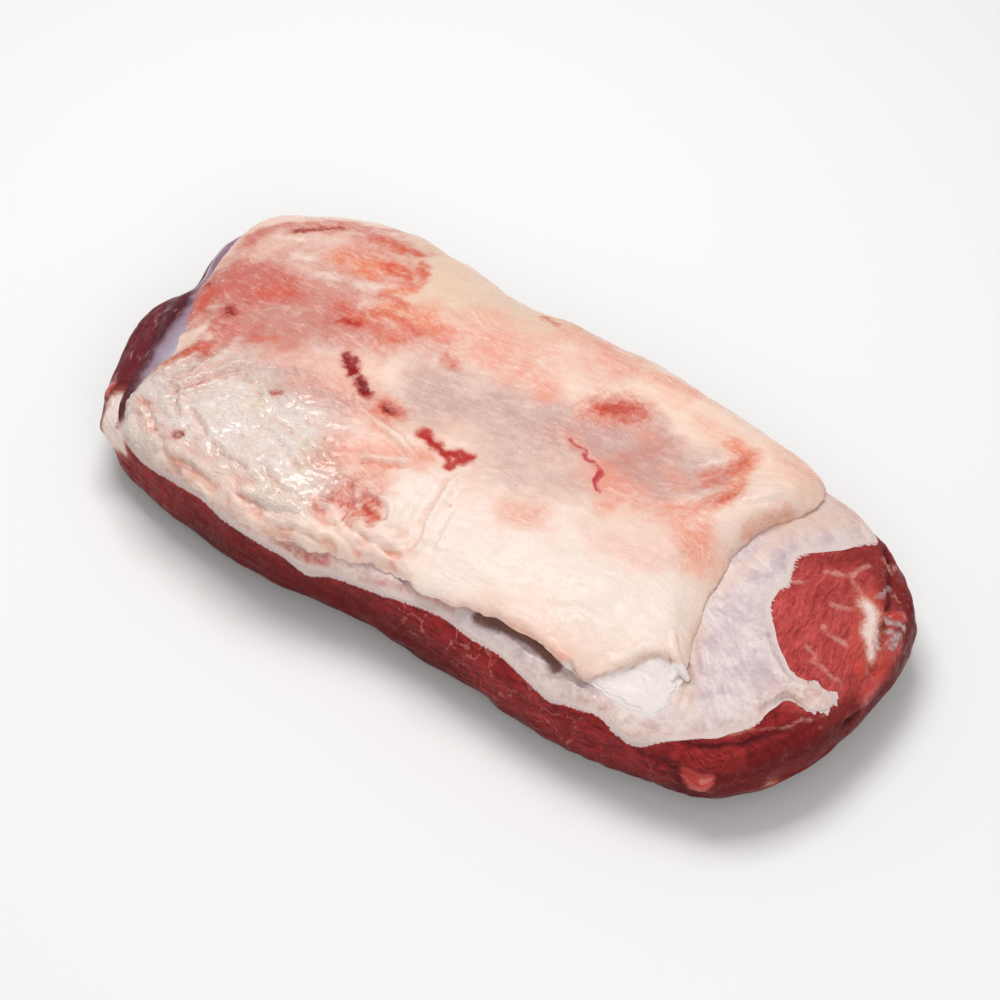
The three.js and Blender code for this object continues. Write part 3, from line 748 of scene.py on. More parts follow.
def relaxed(piece, points, weights, rounds):
    """Points drawn towards the middle of their neighbours, as far as their weights say."""
    first, second = read_rows(piece.data.edges, "vertices", 2, np.int32).T
    counts = np.bincount(np.concatenate((first, second)), minlength=len(points))[:, None]
    eased = points.copy()
    for _ in range(rounds):
        sums = np.zeros_like(eased)
        np.add.at(sums, first, eased[second])
        np.add.at(sums, second, eased[first])
        eased += 0.6 * weights[:, None] * (sums / np.maximum(counts, 1) - eased)
    return eased


def press_down(points, weights, heights, carrier):
    """Brings points to heights over the piece that carries them, as far as their weights say."""
    tree = surface_tree(carrier)
    pressed = points.copy()
    for index in np.flatnonzero(weights > 0.01):
        nearest, way = tree.find_nearest(points[index] * MM)[:2]
        way = np.array(way)
        height = (points[index] - np.array(nearest) / MM) @ way
        pressed[index] += way * (heights[index] - height) * weights[index]
    return pressed


def smooth_copy(node, name):
    """A copy of a solid with four-sided faces, smoothed by a subdivision surface."""
    piece = bpy.data.objects.new(name, frame["nodes"][node].data.copy())
    bpy.context.scene.collection.objects.link(piece)
    piece.data.materials.clear()
    select_only(piece)
    bpy.ops.mesh.customdata_custom_splitnormals_clear()
    bpy.ops.object.mode_set(mode="EDIT")
    bpy.ops.mesh.select_all(action="SELECT")
    bpy.ops.mesh.remove_doubles(threshold=SAME_PLACE)
    bpy.ops.mesh.tris_convert_to_quads(face_threshold=math.pi, shape_threshold=math.pi)
    bpy.ops.object.mode_set(mode="OBJECT")
    bpy.ops.object.modifier_add(type="SUBSURF")
    rounding = piece.modifiers[-1]
    rounding.levels = rounding.render_levels = 2
    bpy.ops.object.modifier_apply(modifier=rounding.name)
    return piece


def split_faces(piece, shown, largest):
    """Splits the shown faces that are larger than a number of square millimetres, in two rounds."""
    for _ in range(2):
        centres, normals, areas = face_values(piece)
        chosen = shown(centres, normals) & (areas > largest)
        select_only(piece)
        bpy.ops.object.mode_set(mode="EDIT")
        bpy.ops.mesh.select_mode(type="FACE")
        bpy.ops.mesh.select_all(action="DESELECT")
        bpy.ops.object.mode_set(mode="OBJECT")
        piece.data.polygons.foreach_set("select", chosen)
        bpy.ops.object.mode_set(mode="EDIT")
        bpy.ops.mesh.subdivide(number_cuts=1)
        bpy.ops.mesh.select_more()
        bpy.ops.mesh.vertices_smooth(factor=0.5, repeat=2)
        bpy.ops.object.mode_set(mode="OBJECT")


ABOVE_ALL = 200


def resting_on(balls, pieces):
    """Balls in a row that lie on pieces, and hang down where the row goes over an edge."""
    trees = [surface_tree(piece) for piece in pieces]
    placed = []
    height = -math.inf
    for ball in starmap(Ball, balls):
        start = Vector((*ball.at, ABOVE_ALL)) * MM
        hits = [tree.ray_cast(start, Vector((0, 0, -1)))[0] for tree in trees]
        ground = max(hit.z / MM for hit in hits if hit) + ball.lift * ball.radius
        height = max(ground, height - ball.fall)
        placed.append(((*ball.at, height), ball.radius))
    return placed


# A metaball's own radius over that of the ball it shows, and its grid in millimetres.
METABALL_GROWTH, METABALL_GRID = 1.7, 0.5


def soft_lump(name, balls):
    """One rounded lump grown together from balls, made in millimetres and then scaled down."""
    for number, (place, radius) in enumerate(balls):
        bpy.ops.object.metaball_add(type="BALL", radius=METABALL_GROWTH * radius, location=place)
        if number == 0:
            lump = bpy.context.object
            lump.data.resolution = lump.data.render_resolution = METABALL_GRID
            bpy.ops.object.mode_set(mode="EDIT")
    bpy.ops.object.mode_set(mode="OBJECT")
    bpy.ops.object.convert(target="MESH")
    lump = bpy.context.object
    lump.name = name
    lump.location *= MM
    lump.scale *= MM
    bpy.ops.object.transform_apply(location=True, rotation=True, scale=True)
    return lump


def finish_piece(piece, node, material):
    piece.data.materials.append(material)
    select_only(piece)
    bpy.ops.object.shade_smooth_by_angle(angle=SMOOTH_ANGLE)
    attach(piece, "root")
    if node:
        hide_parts(node)


class Rim:
    """The edge of a sheet: the points along it and the way the sheet ends there."""

    def __init__(self, piece):
        points, normals = shape_of(piece)
        facing = outwardness(points, normals)
        first, second = read_rows(piece.data.edges, "vertices", 2, np.int32).T
        crossing = (facing[first] > 0) != (facing[second] > 0)
        first, second = first[crossing], second[crossing]
        share = (facing[first] / (facing[first] - facing[second]))[:, None]
        self.points = points[first] + share * (points[second] - points[first])
        ways = normals[first] + share * (normals[second] - normals[first])
        self.ways = ways / np.linalg.norm(ways, axis=1, keepdims=True)
        self.tree = point_tree(self.points)

    def nearest(self, points):
        """Distance to the rim, the rim's nearest point and the way that the sheet ends there."""
        found = [self.tree.find(point)[1:] for point in points]
        indices = np.array([index for index, _ in found])
        distances = np.array([distance for _, distance in found])
        return distances, self.points[indices], self.ways[indices]


class Value:
    """What one output of a shader node gives: a number, a colour or a place."""

    def __init__(self, recipe, socket):
        self.recipe = recipe
        self.socket = socket

    def __add__(self, other):
        return self.recipe.math("ADD", self, other)

    def __sub__(self, other):
        return self.recipe.math("SUBTRACT", self, other)

    def __mul__(self, other):
        return self.recipe.math("MULTIPLY", self, other)

    def ramp(self, low, high, to_low=0.0, to_high=1.0):
        inputs = {0: self, 1: low, 2: high, 3: to_low, 4: to_high}
        return self.recipe.add("ShaderNodeMapRange", inputs, interpolation_type="SMOOTHSTEP")

    def under(self, *layers):
        """This colour with others laid over it in turn: each one, its share and how it blends."""
        colour = self
        for other, share, *kind in layers:
            colour = self.recipe.blend(share, colour, other, *kind)
        return colour


class Recipe:
    """Adds nodes to one material or group and wires them up."""

    def __init__(self, tree):
        self.tree = tree

    def node(self, kind, inputs=None, **settings):
        node = self.tree.nodes.new(kind)
        for name, value in settings.items():
            setattr(node, name, value)
        for key, value in (inputs or {}).items():
            self.put(value, node.inputs[key])
        return node

    def add(self, kind, inputs=None, output=0, **settings):
        return Value(self, self.node(kind, inputs, **settings).outputs[output])

    def put(self, value, socket):
        if isinstance(value, Value):
            self.tree.links.new(value.socket, socket)
        elif socket.type == "RGBA" and len(value) == 3:
            socket.default_value = (*value, 1)
        else:
            socket.default_value = value

    def value_of(self, name):
        return self.add("ShaderNodeAttribute", output="Fac", attribute_name=name)

    def math(self, operation, first, second=0.0, **settings):
        return self.add("ShaderNodeMath", {0: first, 1: second}, operation=operation, **settings)

    def vector(self, operation, first, second):
        inputs = {0: first, "Scale" if operation == "SCALE" else 1: second}
        return self.add("ShaderNodeVectorMath", inputs, operation=operation)

    def place(self):
        """Object coordinates in millimetres."""
        return self.vector("SCALE", self.add("ShaderNodeTexCoord", output="Object"), 1 / MM)

    def grain(self, size, detail, roughness, distortion=0.0, where=None):
        """Noise around 0.5 whose features are about as large as the size in millimetres."""
        inputs = {"Vector": where or self.place(), "Scale": 1 / size, "Detail": detail,
                  "Roughness": roughness, "Distortion": distortion}
        return self.add("ShaderNodeTexNoise", inputs)

    def blend(self, share, first, second, kind="MIX"):
        inputs = {0: share, 6: first, 7: second}
        return self.add("ShaderNodeMix", inputs, output=2, data_type="RGBA", blend_type=kind)

    def group(self, name, build, **inputs):
        """The outputs of a group, which is built when it is first needed."""
        node = self.node("ShaderNodeGroup", node_tree=bpy.data.node_groups.get(name) or build(name))
        for key, value in inputs.items():
            self.put(value, node.inputs[key.capitalize()])
        return [Value(self, socket) for socket in node.outputs]

    def strands(self, heading, length, width, waviness):
        """Strands that run along a heading in plan, as wavy streaks."""
        return self.group("Strands", build_strands, heading=math.radians(heading), length=length,
                          width=width, waviness=waviness)[0]

    def crinkles(self, heading, length, width, waviness):
        """Thin creases along a heading in plan: high between them and low in each."""
        return self.group("Crinkles", build_crinkles, heading=math.radians(heading), length=length,
                          width=width, waviness=waviness)[0]

    def broken_edge(self, name, breakup, grain, softness):
        """A mask from a kept depth inside spots, with an edge that grain breaks up."""
        return self.group("Broken edge", build_broken_edge, depth=self.value_of(name), breakup=breakup,
                          grain=grain, softness=softness)[0]

    def patchy(self, name, unrest, pull, most=1.0):
        """How strongly a colour covers: its kept field, stronger and weaker with unrest around 0."""
        return self.group("Patchy cover", build_patchy_cover, field=self.value_of(name), unrest=unrest,
                          pull=pull)[0] * most

    def wet_film(self, size, wet, dry, cover):
        """The roughness that a thin film of moisture gives, and the height of its fine beads."""
        return self.group("Wet film", build_wet_film, size=size, wet=wet, dry=dry, cover=cover)


def new_group(name, inputs, outputs):
    """An empty shader node group with number sockets, its recipe and its two ends."""
    tree = bpy.data.node_groups.new(name, "ShaderNodeTree")
    for label, default in inputs.items():
        socket = tree.interface.new_socket(label, in_out="INPUT", socket_type="NodeSocketFloat")
        socket.default_value = default
    for label in outputs:
        tree.interface.new_socket(label, in_out="OUTPUT", socket_type="NodeSocketFloat")
    recipe = Recipe(tree)
    given = {socket.name: Value(recipe, socket) for socket in recipe.node("NodeGroupInput").outputs}
    return tree, recipe, given, recipe.node("NodeGroupOutput").inputs


def build_strands(name):
    tree, recipe, given, result = new_group(
        name, {"Heading": 0.0, "Length": 20.0, "Width": 1.5, "Waviness": 4.0}, ["Strand"])
    along = recipe.add("ShaderNodeVectorRotate", {"Vector": recipe.place(), "Angle": given["Heading"]},
                       rotation_type="Z_AXIS")
    broad = {"Vector": recipe.place(), "Scale": 0.05, "Detail": 2.0}
    waves = recipe.add("ShaderNodeTexNoise", broad, output="Color")
    push = recipe.vector("SCALE", recipe.vector("SUBTRACT", waves, (0.5, 0.5, 0.5)), given["Waviness"])
    size = recipe.add("ShaderNodeCombineXYZ", {0: given["Length"], 1: given["Width"], 2: given["Width"]})
    cells = recipe.vector("DIVIDE", recipe.vector("ADD", along, push), size)
    recipe.put(recipe.grain(1.0, 4.0, 0.6, where=cells), result["Strand"])
    return tree


def build_crinkles(name):
    tree, recipe, given, result = new_group(
        name, {"Heading": 0.0, "Length": 10.0, "Width": 3.0, "Waviness": 6.0}, ["Height"])
    strand = recipe.group("Strands", build_strands, heading=given["Heading"], length=given["Length"],
                          width=given["Width"], waviness=given["Waviness"])[0]
    recipe.put(recipe.math("ABSOLUTE", strand - 0.5).ramp(-0.05, 0.1, -0.5, 1.0), result["Height"])
    return tree


def build_broken_edge(name):
    tree, recipe, given, result = new_group(
        name, {"Depth": 0.0, "Breakup": 1.0, "Grain": 1.5, "Softness": 0.5}, ["Mask"])
    crumbs = recipe.add("ShaderNodeTexNoise", {
        "Vector": recipe.place(), "Scale": recipe.math("DIVIDE", 1.0, given["Grain"]), "Detail": 3.0,
        "Roughness": 0.6})
    pushed = given["Depth"] + (crumbs - 0.5) * 2.0 * given["Breakup"]
    recipe.put(pushed.ramp(given["Softness"] * -1.0, given["Softness"]), result["Mask"])
    return tree


def build_patchy_cover(name):
    tree, recipe, given, result = new_group(name, {"Field": 0.0, "Unrest": 0.0, "Pull": 1.0}, ["Share"])
    swing = given["Unrest"] * given["Pull"] + 1.0
    recipe.put(recipe.math("MULTIPLY", given["Field"], swing, use_clamp=True), result["Share"])
    return tree


def build_wet_film(name):
    tree, recipe, given, result = new_group(
        name, {"Size": 3.0, "Wet": 0.16, "Dry": 0.5, "Cover": 0.5}, ["Roughness", "Height"])
    scale = recipe.math("DIVIDE", 1.0, given["Size"])
    patches = recipe.add("ShaderNodeTexNoise", {"Vector": recipe.place(), "Scale": scale, "Detail": 4.0,
                                                "Roughness": 0.6})
    wet_share = (patches + (given["Cover"] - 0.5)).ramp(0.38, 0.6)
    recipe.put(given["Dry"] + wet_share * (given["Wet"] - given["Dry"]), result["Roughness"])
    beads = recipe.add("ShaderNodeTexNoise", {"Vector": recipe.place(), "Scale": scale * 3.0, "Detail": 3.0})
    recipe.put(beads, result["Height"])
    return tree


def new_material(name):
    material = bpy.data.materials.new(name)
    material.use_nodes = True
    material.node_tree.nodes.clear()
    recipe = Recipe(material.node_tree)
    surface = recipe.node("ShaderNodeBsdfPrincipled")
    recipe.node("ShaderNodeOutputMaterial", {"Surface": Value(recipe, surface.outputs[0])})
    return material, recipe, surface.inputs


def finish_surface(recipe, surface, linked, fixed, heights):
    """Wires up the shader, with a bump from pairs of a value and how many millimetres it stands for."""
    for name, value in linked.items():
        recipe.put(value, surface[name])
    for name, value in fixed.items():
        surface[name].default_value = value
    total = None
    for value, millimetres in heights:
        part = value * millimetres
        total = part if total is None else total + part
    bump = recipe.add("ShaderNodeBump", {"Height": total, "Distance": MM, "Strength": 1.0})
    recipe.put(bump, surface["Normal"])


def sculpt_fat(piece, carrier, settings):
    """Ragged edge, folds, wrinkles and pits of the fat, and the depth of each of its colours."""
    points, normals = shape_of(piece)
    sideways = np.array([1, 1, 0])
    flat = points * sideways
    inset, edge, way = Rim(piece).nearest(points)
    facing = outwardness(points, normals)
    top = smooth(facing, 0.1, 0.6)
    loose = field(edge, LOOSE_EDGE)
    near_ply = smooth(away(flat, PLY_MIDDLE), 46, 30)
    ply = np.where(near_ply > 0, -along_path(flat, PLY_EDGE)[1], OFF_PLY) + 1.5 * noise(flat, 6, 43)
    ragged = settings.ragged / MM * (0.45 + 0.7 * loose + 0.2 * near_ply)
    reach = ragged * (0.8 * layers(edge, 15, 3, 2) + 0.55 * layers(edge, 5, 9, 2))
    reach += tab_reach(edge, FAT_TABS)
    moved = points + way * (reach * bell(inset, 6))[:, None]

    drifting = flat + 9 * sideways * shaken(points, 21, (71, 72, 77))
    drifting += 4 * sideways * shaken(points, 7, (75, 76, 78))
    wrinkled, lumpy, crumpled = field(drifting, WRINKLED), field(flat, LUMPY), field(flat, CRUMPLED)
    flow = turned(points, -14, warp=7, warp_size=26, seed=11)
    wrinkles = 0.7 * creases(flow, (24, 7, 10), 21) + 0.6 * layers(flow, (11, 5, 7), 22, 2)
    wrinkles += 0.7 * creases(flow, (8, 3.2, 5), 23)
    lumps = layers(turned(points, -6, warp=3, seed=13), (12, 6.5, 9), 24, 2)
    crumples = creases(turned(points, 50, warp=3, seed=15), (9, 4.5, 6), 25)
    fine = 0.75 * wrinkled * wrinkles + 1.7 * lumpy * lumps + 1.4 * crumpled * crumples
    fine = settings.wrinkle / MM * fine
    fine += (0.3 - 0.1 * wrinkled) * layers(turned(points, 8, 4, seed=5), (30, 4, 9), 33, 2)
    folds = fold_relief(flat, FAT_FOLDS)
    relief = fine + folds + 0.8 * layers(points, 30, 31, 3) + swell(flat, FAT_SWELLS)
    for place, spread, depth in PITS:
        relief -= depth * bell(away(flat, place), spread)
    crack = along_path(flat, CRACK)[0]
    relief -= 0.9 * bell(crack, 1.3) - 0.4 * bell(crack, 6)
    for sinew in SINEWS:
        relief += 0.3 * near(flat, sinew, 1.0)
    relief += near_ply * (0.8 * bell(ply + 2.6, 2.4) - 2.2 * smooth(ply, -0.9, 0.9))
    pleats = creases(turned(points, -52, warp=3, seed=17), (16, 4.5, 9), 27)
    relief += near_ply * smooth(ply, 0, 3) * 0.5 * pleats
    moved += normals * (top * relief)[:, None]
    lip = near(edge, LIP, 12) * bell(inset, 9)
    moved[:, 2] += LIP_LIFT * lip * smooth(-facing, -0.4, 0.5) + 0.8 * lip * top
    left_end = smooth(edge[:, 0], -60, -150)
    right_end = smooth(edge[:, 0], 112, 130) * (ply < 2)
    on_ply = near_ply * smooth(ply, 0, 4)
    thin = np.maximum(loose * bell(inset, 5), on_ply * bell(inset, 8))
    thin = np.maximum(thin, np.maximum(left_end * bell(inset, 4), right_end * bell(inset, 9)))
    thin *= 1 - near(edge, LIP, 8) * (ply < 0)
    rise = 0.7 + 0.5 * (1 - right_end) * (1 - on_ply) + (0.12 + 0.4 * right_end * (1 - on_ply)) * inset
    moved = press_down(moved, thin, np.where(facing > 0, rise - 0.3 * on_ply, -0.2), carrier)
    move_points(piece, moved)

    blurred = flat + 1.6 * sideways * shaken(points, 5, (73, 74, 79))
    colours = {"dusky": DUSKY, "salmon": SALMON, "rose": ROSY, "peach": PEACHY, "beige": BEIGE,
               "cream": CREAMY_SHEET, "veil": VEIL, "white": WRINKLED}
    stains = {"blood": BLOOD, "smear": SMEAR, "clot": CLOT, "stain": STAIN, "pale": PALE}
    keep_values(piece, {
        **{name: field(drifting, bands) for name, bands in colours.items()},
        "amber": field(blurred, AMBER),
        **{name: spots(blurred, places) for name, places in stains.items()},
        # The relief, which the material darkens in its valleys and lightens on its crests.
        "crest": np.clip((fine + 0.7 * folds) / 1.3, -1, 1) * top,
        "lumpy": lumpy,
        # Painted shade on the down-facing undersides of the lumps.
        "under": smooth(facing, 0.2, -0.1) * field(edge, LUMPY),
        "crack": along_path(blurred, CRACK)[0],
        "rim": smooth(inset, 12, 0) * smooth(edge[:, 0], 100, 130),
        "ply": np.where(near_ply > 0.3, ply, OFF_PLY),
        # Painted shadow where the lip overhangs the ply.
        "ply_lip_shadow": near_ply * bell(ply - 0.4, 0.9),
        "sinew": np.min([along_path(flat, sinew)[0] for sinew in SINEWS], axis=0)})


def fat_material(settings):
    material, recipe, surface = new_material("Fat")
    big = recipe.grain(19, 5, 0.62, 0.5) - 0.5
    mid = recipe.grain(6, 5, 0.65, 0.4) - 0.5
    fine = recipe.grain(1.3, 4, 0.6)
    along = recipe.strands(-4, 24, 2.0, 12)
    across = recipe.strands(26, 16, 1.2, 9)
    threads = along - 0.5
    unrest = big * 1.2 + mid * 1.6 + (threads * 1.8 + (across - 0.5) * 1.8)
    crest, crack = recipe.value_of("crest"), recipe.value_of("crack")
    wet = (recipe.value_of("white") + unrest * 0.3).ramp(0.1, 0.9)
    crinkle_height = (recipe.crinkles(-14, 13, 4.0, 10) * 0.5 + recipe.crinkles(28, 8, 2.4, 8) * 0.35
                      + recipe.crinkles(-55, 5, 1.6, 6) * 0.2)
    blood = recipe.broken_edge("blood", 1.6, 2.0, 1.2)

    wet_tone = recipe.blend((mid * 1.2 + big).ramp(0.06, 0.36, 0.0, 0.75), settings.white, settings.mauve)
    yellowish = recipe.grain(26, 3, 0.5) + mid * 0.5
    wet_tone = wet_tone.under((settings.pink, (threads + mid).ramp(-0.06, 0.24, 0.0, 0.85)),
                              (settings.yellow, yellowish.ramp(0.52, 0.66, 0.0, 0.7)))
    flush = recipe.blend((big + mid * 0.6).ramp(-0.16, 0.24), settings.flush,
                         shaded(settings.flush, 0.97, 0.88, 0.83))

    def patch(name, pull, most=1.0):
        return getattr(settings, name), recipe.patchy(name, unrest, pull, most)

    colour = flush.under(
        patch("cream", 0.5), patch("beige", 0.5), patch("peach", 0.5),
        (wet_tone, recipe.patchy("white", unrest, 1.5)),
        patch("veil", 0.7, 0.7), patch("dusky", 0.8, 0.9), patch("rose", 1.0, 0.75),
        patch("amber", 1.3, 0.9), patch("salmon", 1.0, 0.8),
        # Painted shade in the valleys of the relief, and painted light on its crests and on the tops of the
        # lumps.
        ((0.92, 0.72, 0.66), crest.ramp(0.0, -0.8) * 0.6, "MULTIPLY"),
        (settings.cream, (crest + mid * 0.8).ramp(0.15, 0.8) * 0.3),
        (shaded(settings.cream, 1.0, 0.93, 0.9), recipe.value_of("lumpy") * crest.ramp(-0.5, 0.2) * 0.65),
        ((0.97, 0.92, 0.9), fine.ramp(0.42, 0.62) * wet.ramp(0.0, 1.0, 0.4, 0.1), "MULTIPLY"),
        (settings.cream, across.ramp(0.56, 0.7) * 0.2),
        # Painted shade in the valleys of the crinkles of the wet fat.
        ((0.93, 0.74, 0.7), crinkle_height.ramp(0.2, -0.4) * (wet * 0.24), "MULTIPLY"),
        (settings.rim, recipe.value_of("rim") * unrest.ramp(-0.8, 0.8, 0.3, 0.9) * 0.25),
        (settings.cream, recipe.broken_edge("pale", 1.6, 3.0, 1.4) * 0.75),
        (settings.cream, (recipe.value_of("sinew") + mid * 3.0).ramp(0.9, 0.1) * 0.5),
        # Painted shade: reddish undersides of the lumps.
        (settings.under, recipe.value_of("under") * (mid + threads).ramp(-0.25, 0.05) * 0.34),
        (settings.ply, recipe.broken_edge("ply", 1.2, 3, 1.2) * 0.9),
        # Painted shadow along the lip's line over the ply.
        (settings.ply_lip_shadow, recipe.value_of("ply_lip_shadow") * mid.ramp(-0.2, 0.1, 0.3, 0.8)),
        (settings.rose, (crack + mid * 8.0).ramp(9.0, 0.0) * 0.38),
        (settings.stain, recipe.broken_edge("stain", 1.5, 3.0, 1.6) * 0.85),
        (settings.stain, (recipe.value_of("blood") + mid * 3.0).ramp(-2.6, 1.0) * 0.4),
        (settings.stain, (recipe.value_of("smear") + mid * 3.0).ramp(-2.4, 1.2) * 0.45),
        (settings.smear, recipe.broken_edge("smear", 1.5, 2.6, 1.4)),
        (settings.blood, blood),
        (settings.clot, recipe.broken_edge("clot", 1.0, 1.8, 1.0) * 0.6),
        (settings.slit, (crack + fine * 1.0).ramp(2.2, 0.7)))

    roughness, beads = recipe.wet_film(4.0, 0.17, 0.5, 0.46)
    crumple = recipe.grain(1.5, 4, 0.65) * wet.ramp(0.0, 1.0, 0.2, 0.62)
    finish_surface(
        recipe, surface,
        {"Base Color": colour, "Roughness": roughness * wet.ramp(0.0, 1.0, 1.0, 0.7),
         "Coat Weight": wet.ramp(0.0, 1.0, 0.08, 0.8) * blood.ramp(0.0, 0.5, 1.0, 0.1)},
        {"IOR": 1.42, "Specular IOR Level": 0.35, "Coat Roughness": 0.1, "Subsurface Weight": 0.1,
         "Subsurface Radius": (1.0, 0.5, 0.35), "Subsurface Scale": 2.0 * MM},
        [(crinkle_height * wet.ramp(0.0, 1.0, 0.0, 0.42), 1.0), (crumple, 1.0), (along, 0.4), (across, 0.3),
         (beads, 0.12), (blood, -0.2)])
    return material


def sculpt_silverskin(piece, carrier, settings):
    """Thin edge, pressed onto the lean, and the soft folds of the silverskin."""
    points, normals = shape_of(piece)
    length, across, height = points.T
    inset, edge, way = Rim(piece).nearest(points)
    facing = outwardness(points, normals)
    top = smooth(facing, 0.0, 0.5)
    right_end = smooth(edge[:, 0], 60, 150)
    tabs = tab_reach(edge, SKIN_TABS)
    jag = settings.tear / MM * (0.4 + 0.5 * right_end) * smooth(tabs, 6.0, 2.0) * layers(edge, 9, 6, 3)
    reach = jag * bell(inset, 6.0) + tabs * bell(inset, 10.0)
    moved = points + way * reach[:, None]
    flow = turned(points, -24, warp=5, warp_size=20, seed=91)
    puffs = 0.6 * creases(flow, (22, 7, 12), 92) + 0.3 * creases(flow, (9, 3.2, 6), 93)
    puffy = field(points, PUFFY)
    heights = (0.3 + 0.9 * puffy) * puffs + 0.9 * puffy + 0.3 * layers(points, 14, 95, 2)
    for path, depth, width in SKIN_CREASES:
        distance = along_path(points, path)[0]
        heights -= depth * (bell(distance, width) - 0.5 * bell(distance - 3.0, 1.6))
    moved += normals * (top * heights * smooth(inset, 2.0, 8.0))[:, None]
    moved = relaxed(piece, moved, bell(inset, 5.0), 3)
    over_lean = np.where(facing > 0, 0.08 + 0.1 * inset * settings.rim_thickness / (0.2 * MM), -0.5)
    moved = press_down(moved, smooth(inset, 9.0, 1.5), over_lean, carrier)
    move_points(piece, moved)
    border = -along_path(points, LOBE_BORDER)[1] + 1.5 * noise(points, 7, 96)
    near_border = smooth(length, -150, -170)
    purple = smooth(border, -14, -2) * 0.7 + smooth(across, 0, 14)
    front_left = np.maximum(smooth(length, -20, -110) * smooth(across, -40, -80), smooth(height, 58, 50))
    # Painted shadows in the crevices beside the fat.
    crevice_shadows = [share * near(points, path, width) for path, width, share in CREVICE_SHADOWS]
    keep_values(piece, {
        "edge": inset,
        "crest": np.clip(puffs, -1, 1),
        "puffy": puffy,
        # Brownish skin with painted shade beside the fat's edge.
        "brown": field(points, BROWNISH_SHADE),
        # Reddish flesh in painted shade under the fat's edge.
        "undercut_shade": field(points, UNDERCUT_SHADE),
        "left_end": near_border * smooth(across, -96, -84),
        "dark": near_border * smooth(border, -3.0, 3.0) * (1 - 0.4 * smooth(across, 0, 25)),
        "purple": np.clip(purple, 0, 1) * near_border,
        "front_left": front_left,
        "gap": np.max(crevice_shadows, axis=0)})


def silverskin_material(settings):
    material, recipe, surface = new_material("Silverskin")
    clouds = recipe.grain(13, 5, 0.62, 0.6)
    mottle = recipe.grain(3.0, 4, 0.6)
    streaks = recipe.strands(35, 14, 1.1, 10)
    threads = recipe.strands(-25, 10, 0.8, 10)
    slants = recipe.strands(62, 20, 3.0, 12)
    front_left, left_end, dark = map(recipe.value_of, ("front_left", "left_end", "dark"))
    near_edge = (recipe.value_of("edge") + (streaks - 0.5) * 7.0).ramp(6.0, 0.5)
    # Painted shadow in the crevices beside the fat.
    gap = (recipe.value_of("gap") + (mottle - 0.5) * 0.6).ramp(0.1, 0.8)

    fatty = recipe.blend((clouds + mottle * 0.8).ramp(0.75, 1.05), settings.fatty, settings.fatty_pink)
    cold = recipe.blend((slants + clouds * 0.6).ramp(0.7, 0.92), settings.blue,
                        shaded(settings.blue, 1.12, 1.14, 1.1))
    cold = cold.under((settings.purple, recipe.value_of("purple")))
    flesh = recipe.blend(slants.ramp(0.35, 0.65), settings.flesh, shaded(settings.flesh, 0.45, 0.3, 0.4))
    colour = recipe.blend(clouds.ramp(0.4, 0.66), settings.membrane, settings.lilac).under(
        (settings.cream, threads.ramp(0.5, 0.7) * 0.5),
        (settings.lilac, streaks.ramp(0.5, 0.36) * 0.3),
        ((0.94, 0.88, 0.88), mottle.ramp(0.4, 0.65) * 0.5, "MULTIPLY"),
        (fatty, front_left * 0.95),
        # Brownish skin with painted shade beside the fat's edge.
        (settings.brown, recipe.value_of("brown") * streaks.ramp(0.35, 0.6, 0.5, 1.0)),
        # Painted shade in the valleys of the folds.
        ((0.88, 0.78, 0.8), recipe.value_of("crest").ramp(0.0, -0.7) * 0.5, "MULTIPLY"),
        # Reddish flesh in painted shade under the fat's edge.
        (settings.undercut_shade, recipe.patchy("undercut_shade", mottle - 0.5, 2.4, 0.85)),
        (TORN_EDGE, near_edge * 0.85),
        (cold, left_end * 0.9),
        (flesh, dark),
        (settings.shreds, dark * (slants + mottle * 0.3).ramp(0.72, 0.84) * 0.35),
        # Painted shadow in the crevices beside the fat.
        (settings.gap, gap * 0.9))

    roughness, beads = recipe.wet_film(6.0, 0.18, 0.42, 0.5)
    shine = recipe.value_of("puffy") * 0.85 + left_end * dark.ramp(0.0, 0.3, 0.6, 0.0)
    finish_surface(
        recipe, surface, {"Base Color": colour, "Roughness": roughness, "Coat Weight": shine},
        {"IOR": 1.38, "Specular IOR Level": 0.3, "Coat Roughness": 0.1, "Subsurface Weight": 0.1,
         "Subsurface Radius": (1.0, 0.4, 0.4), "Subsurface Scale": 1.5 * MM},
        [(streaks, 0.1), (threads, 0.1), (mottle, 0.12), ((mottle + clouds) * (front_left * 0.9), 1.0),
         (beads, 0.1)])
    return material


def beyond_skin(points, skin_rim):
    """How far each point lies beyond the torn edge of the silverskin, less than 0 under it."""
    _, edge, way = skin_rim.nearest(points)
    return np.einsum("ij,ij->i", points - edge, way) - tab_reach(edge, SKIN_TABS)


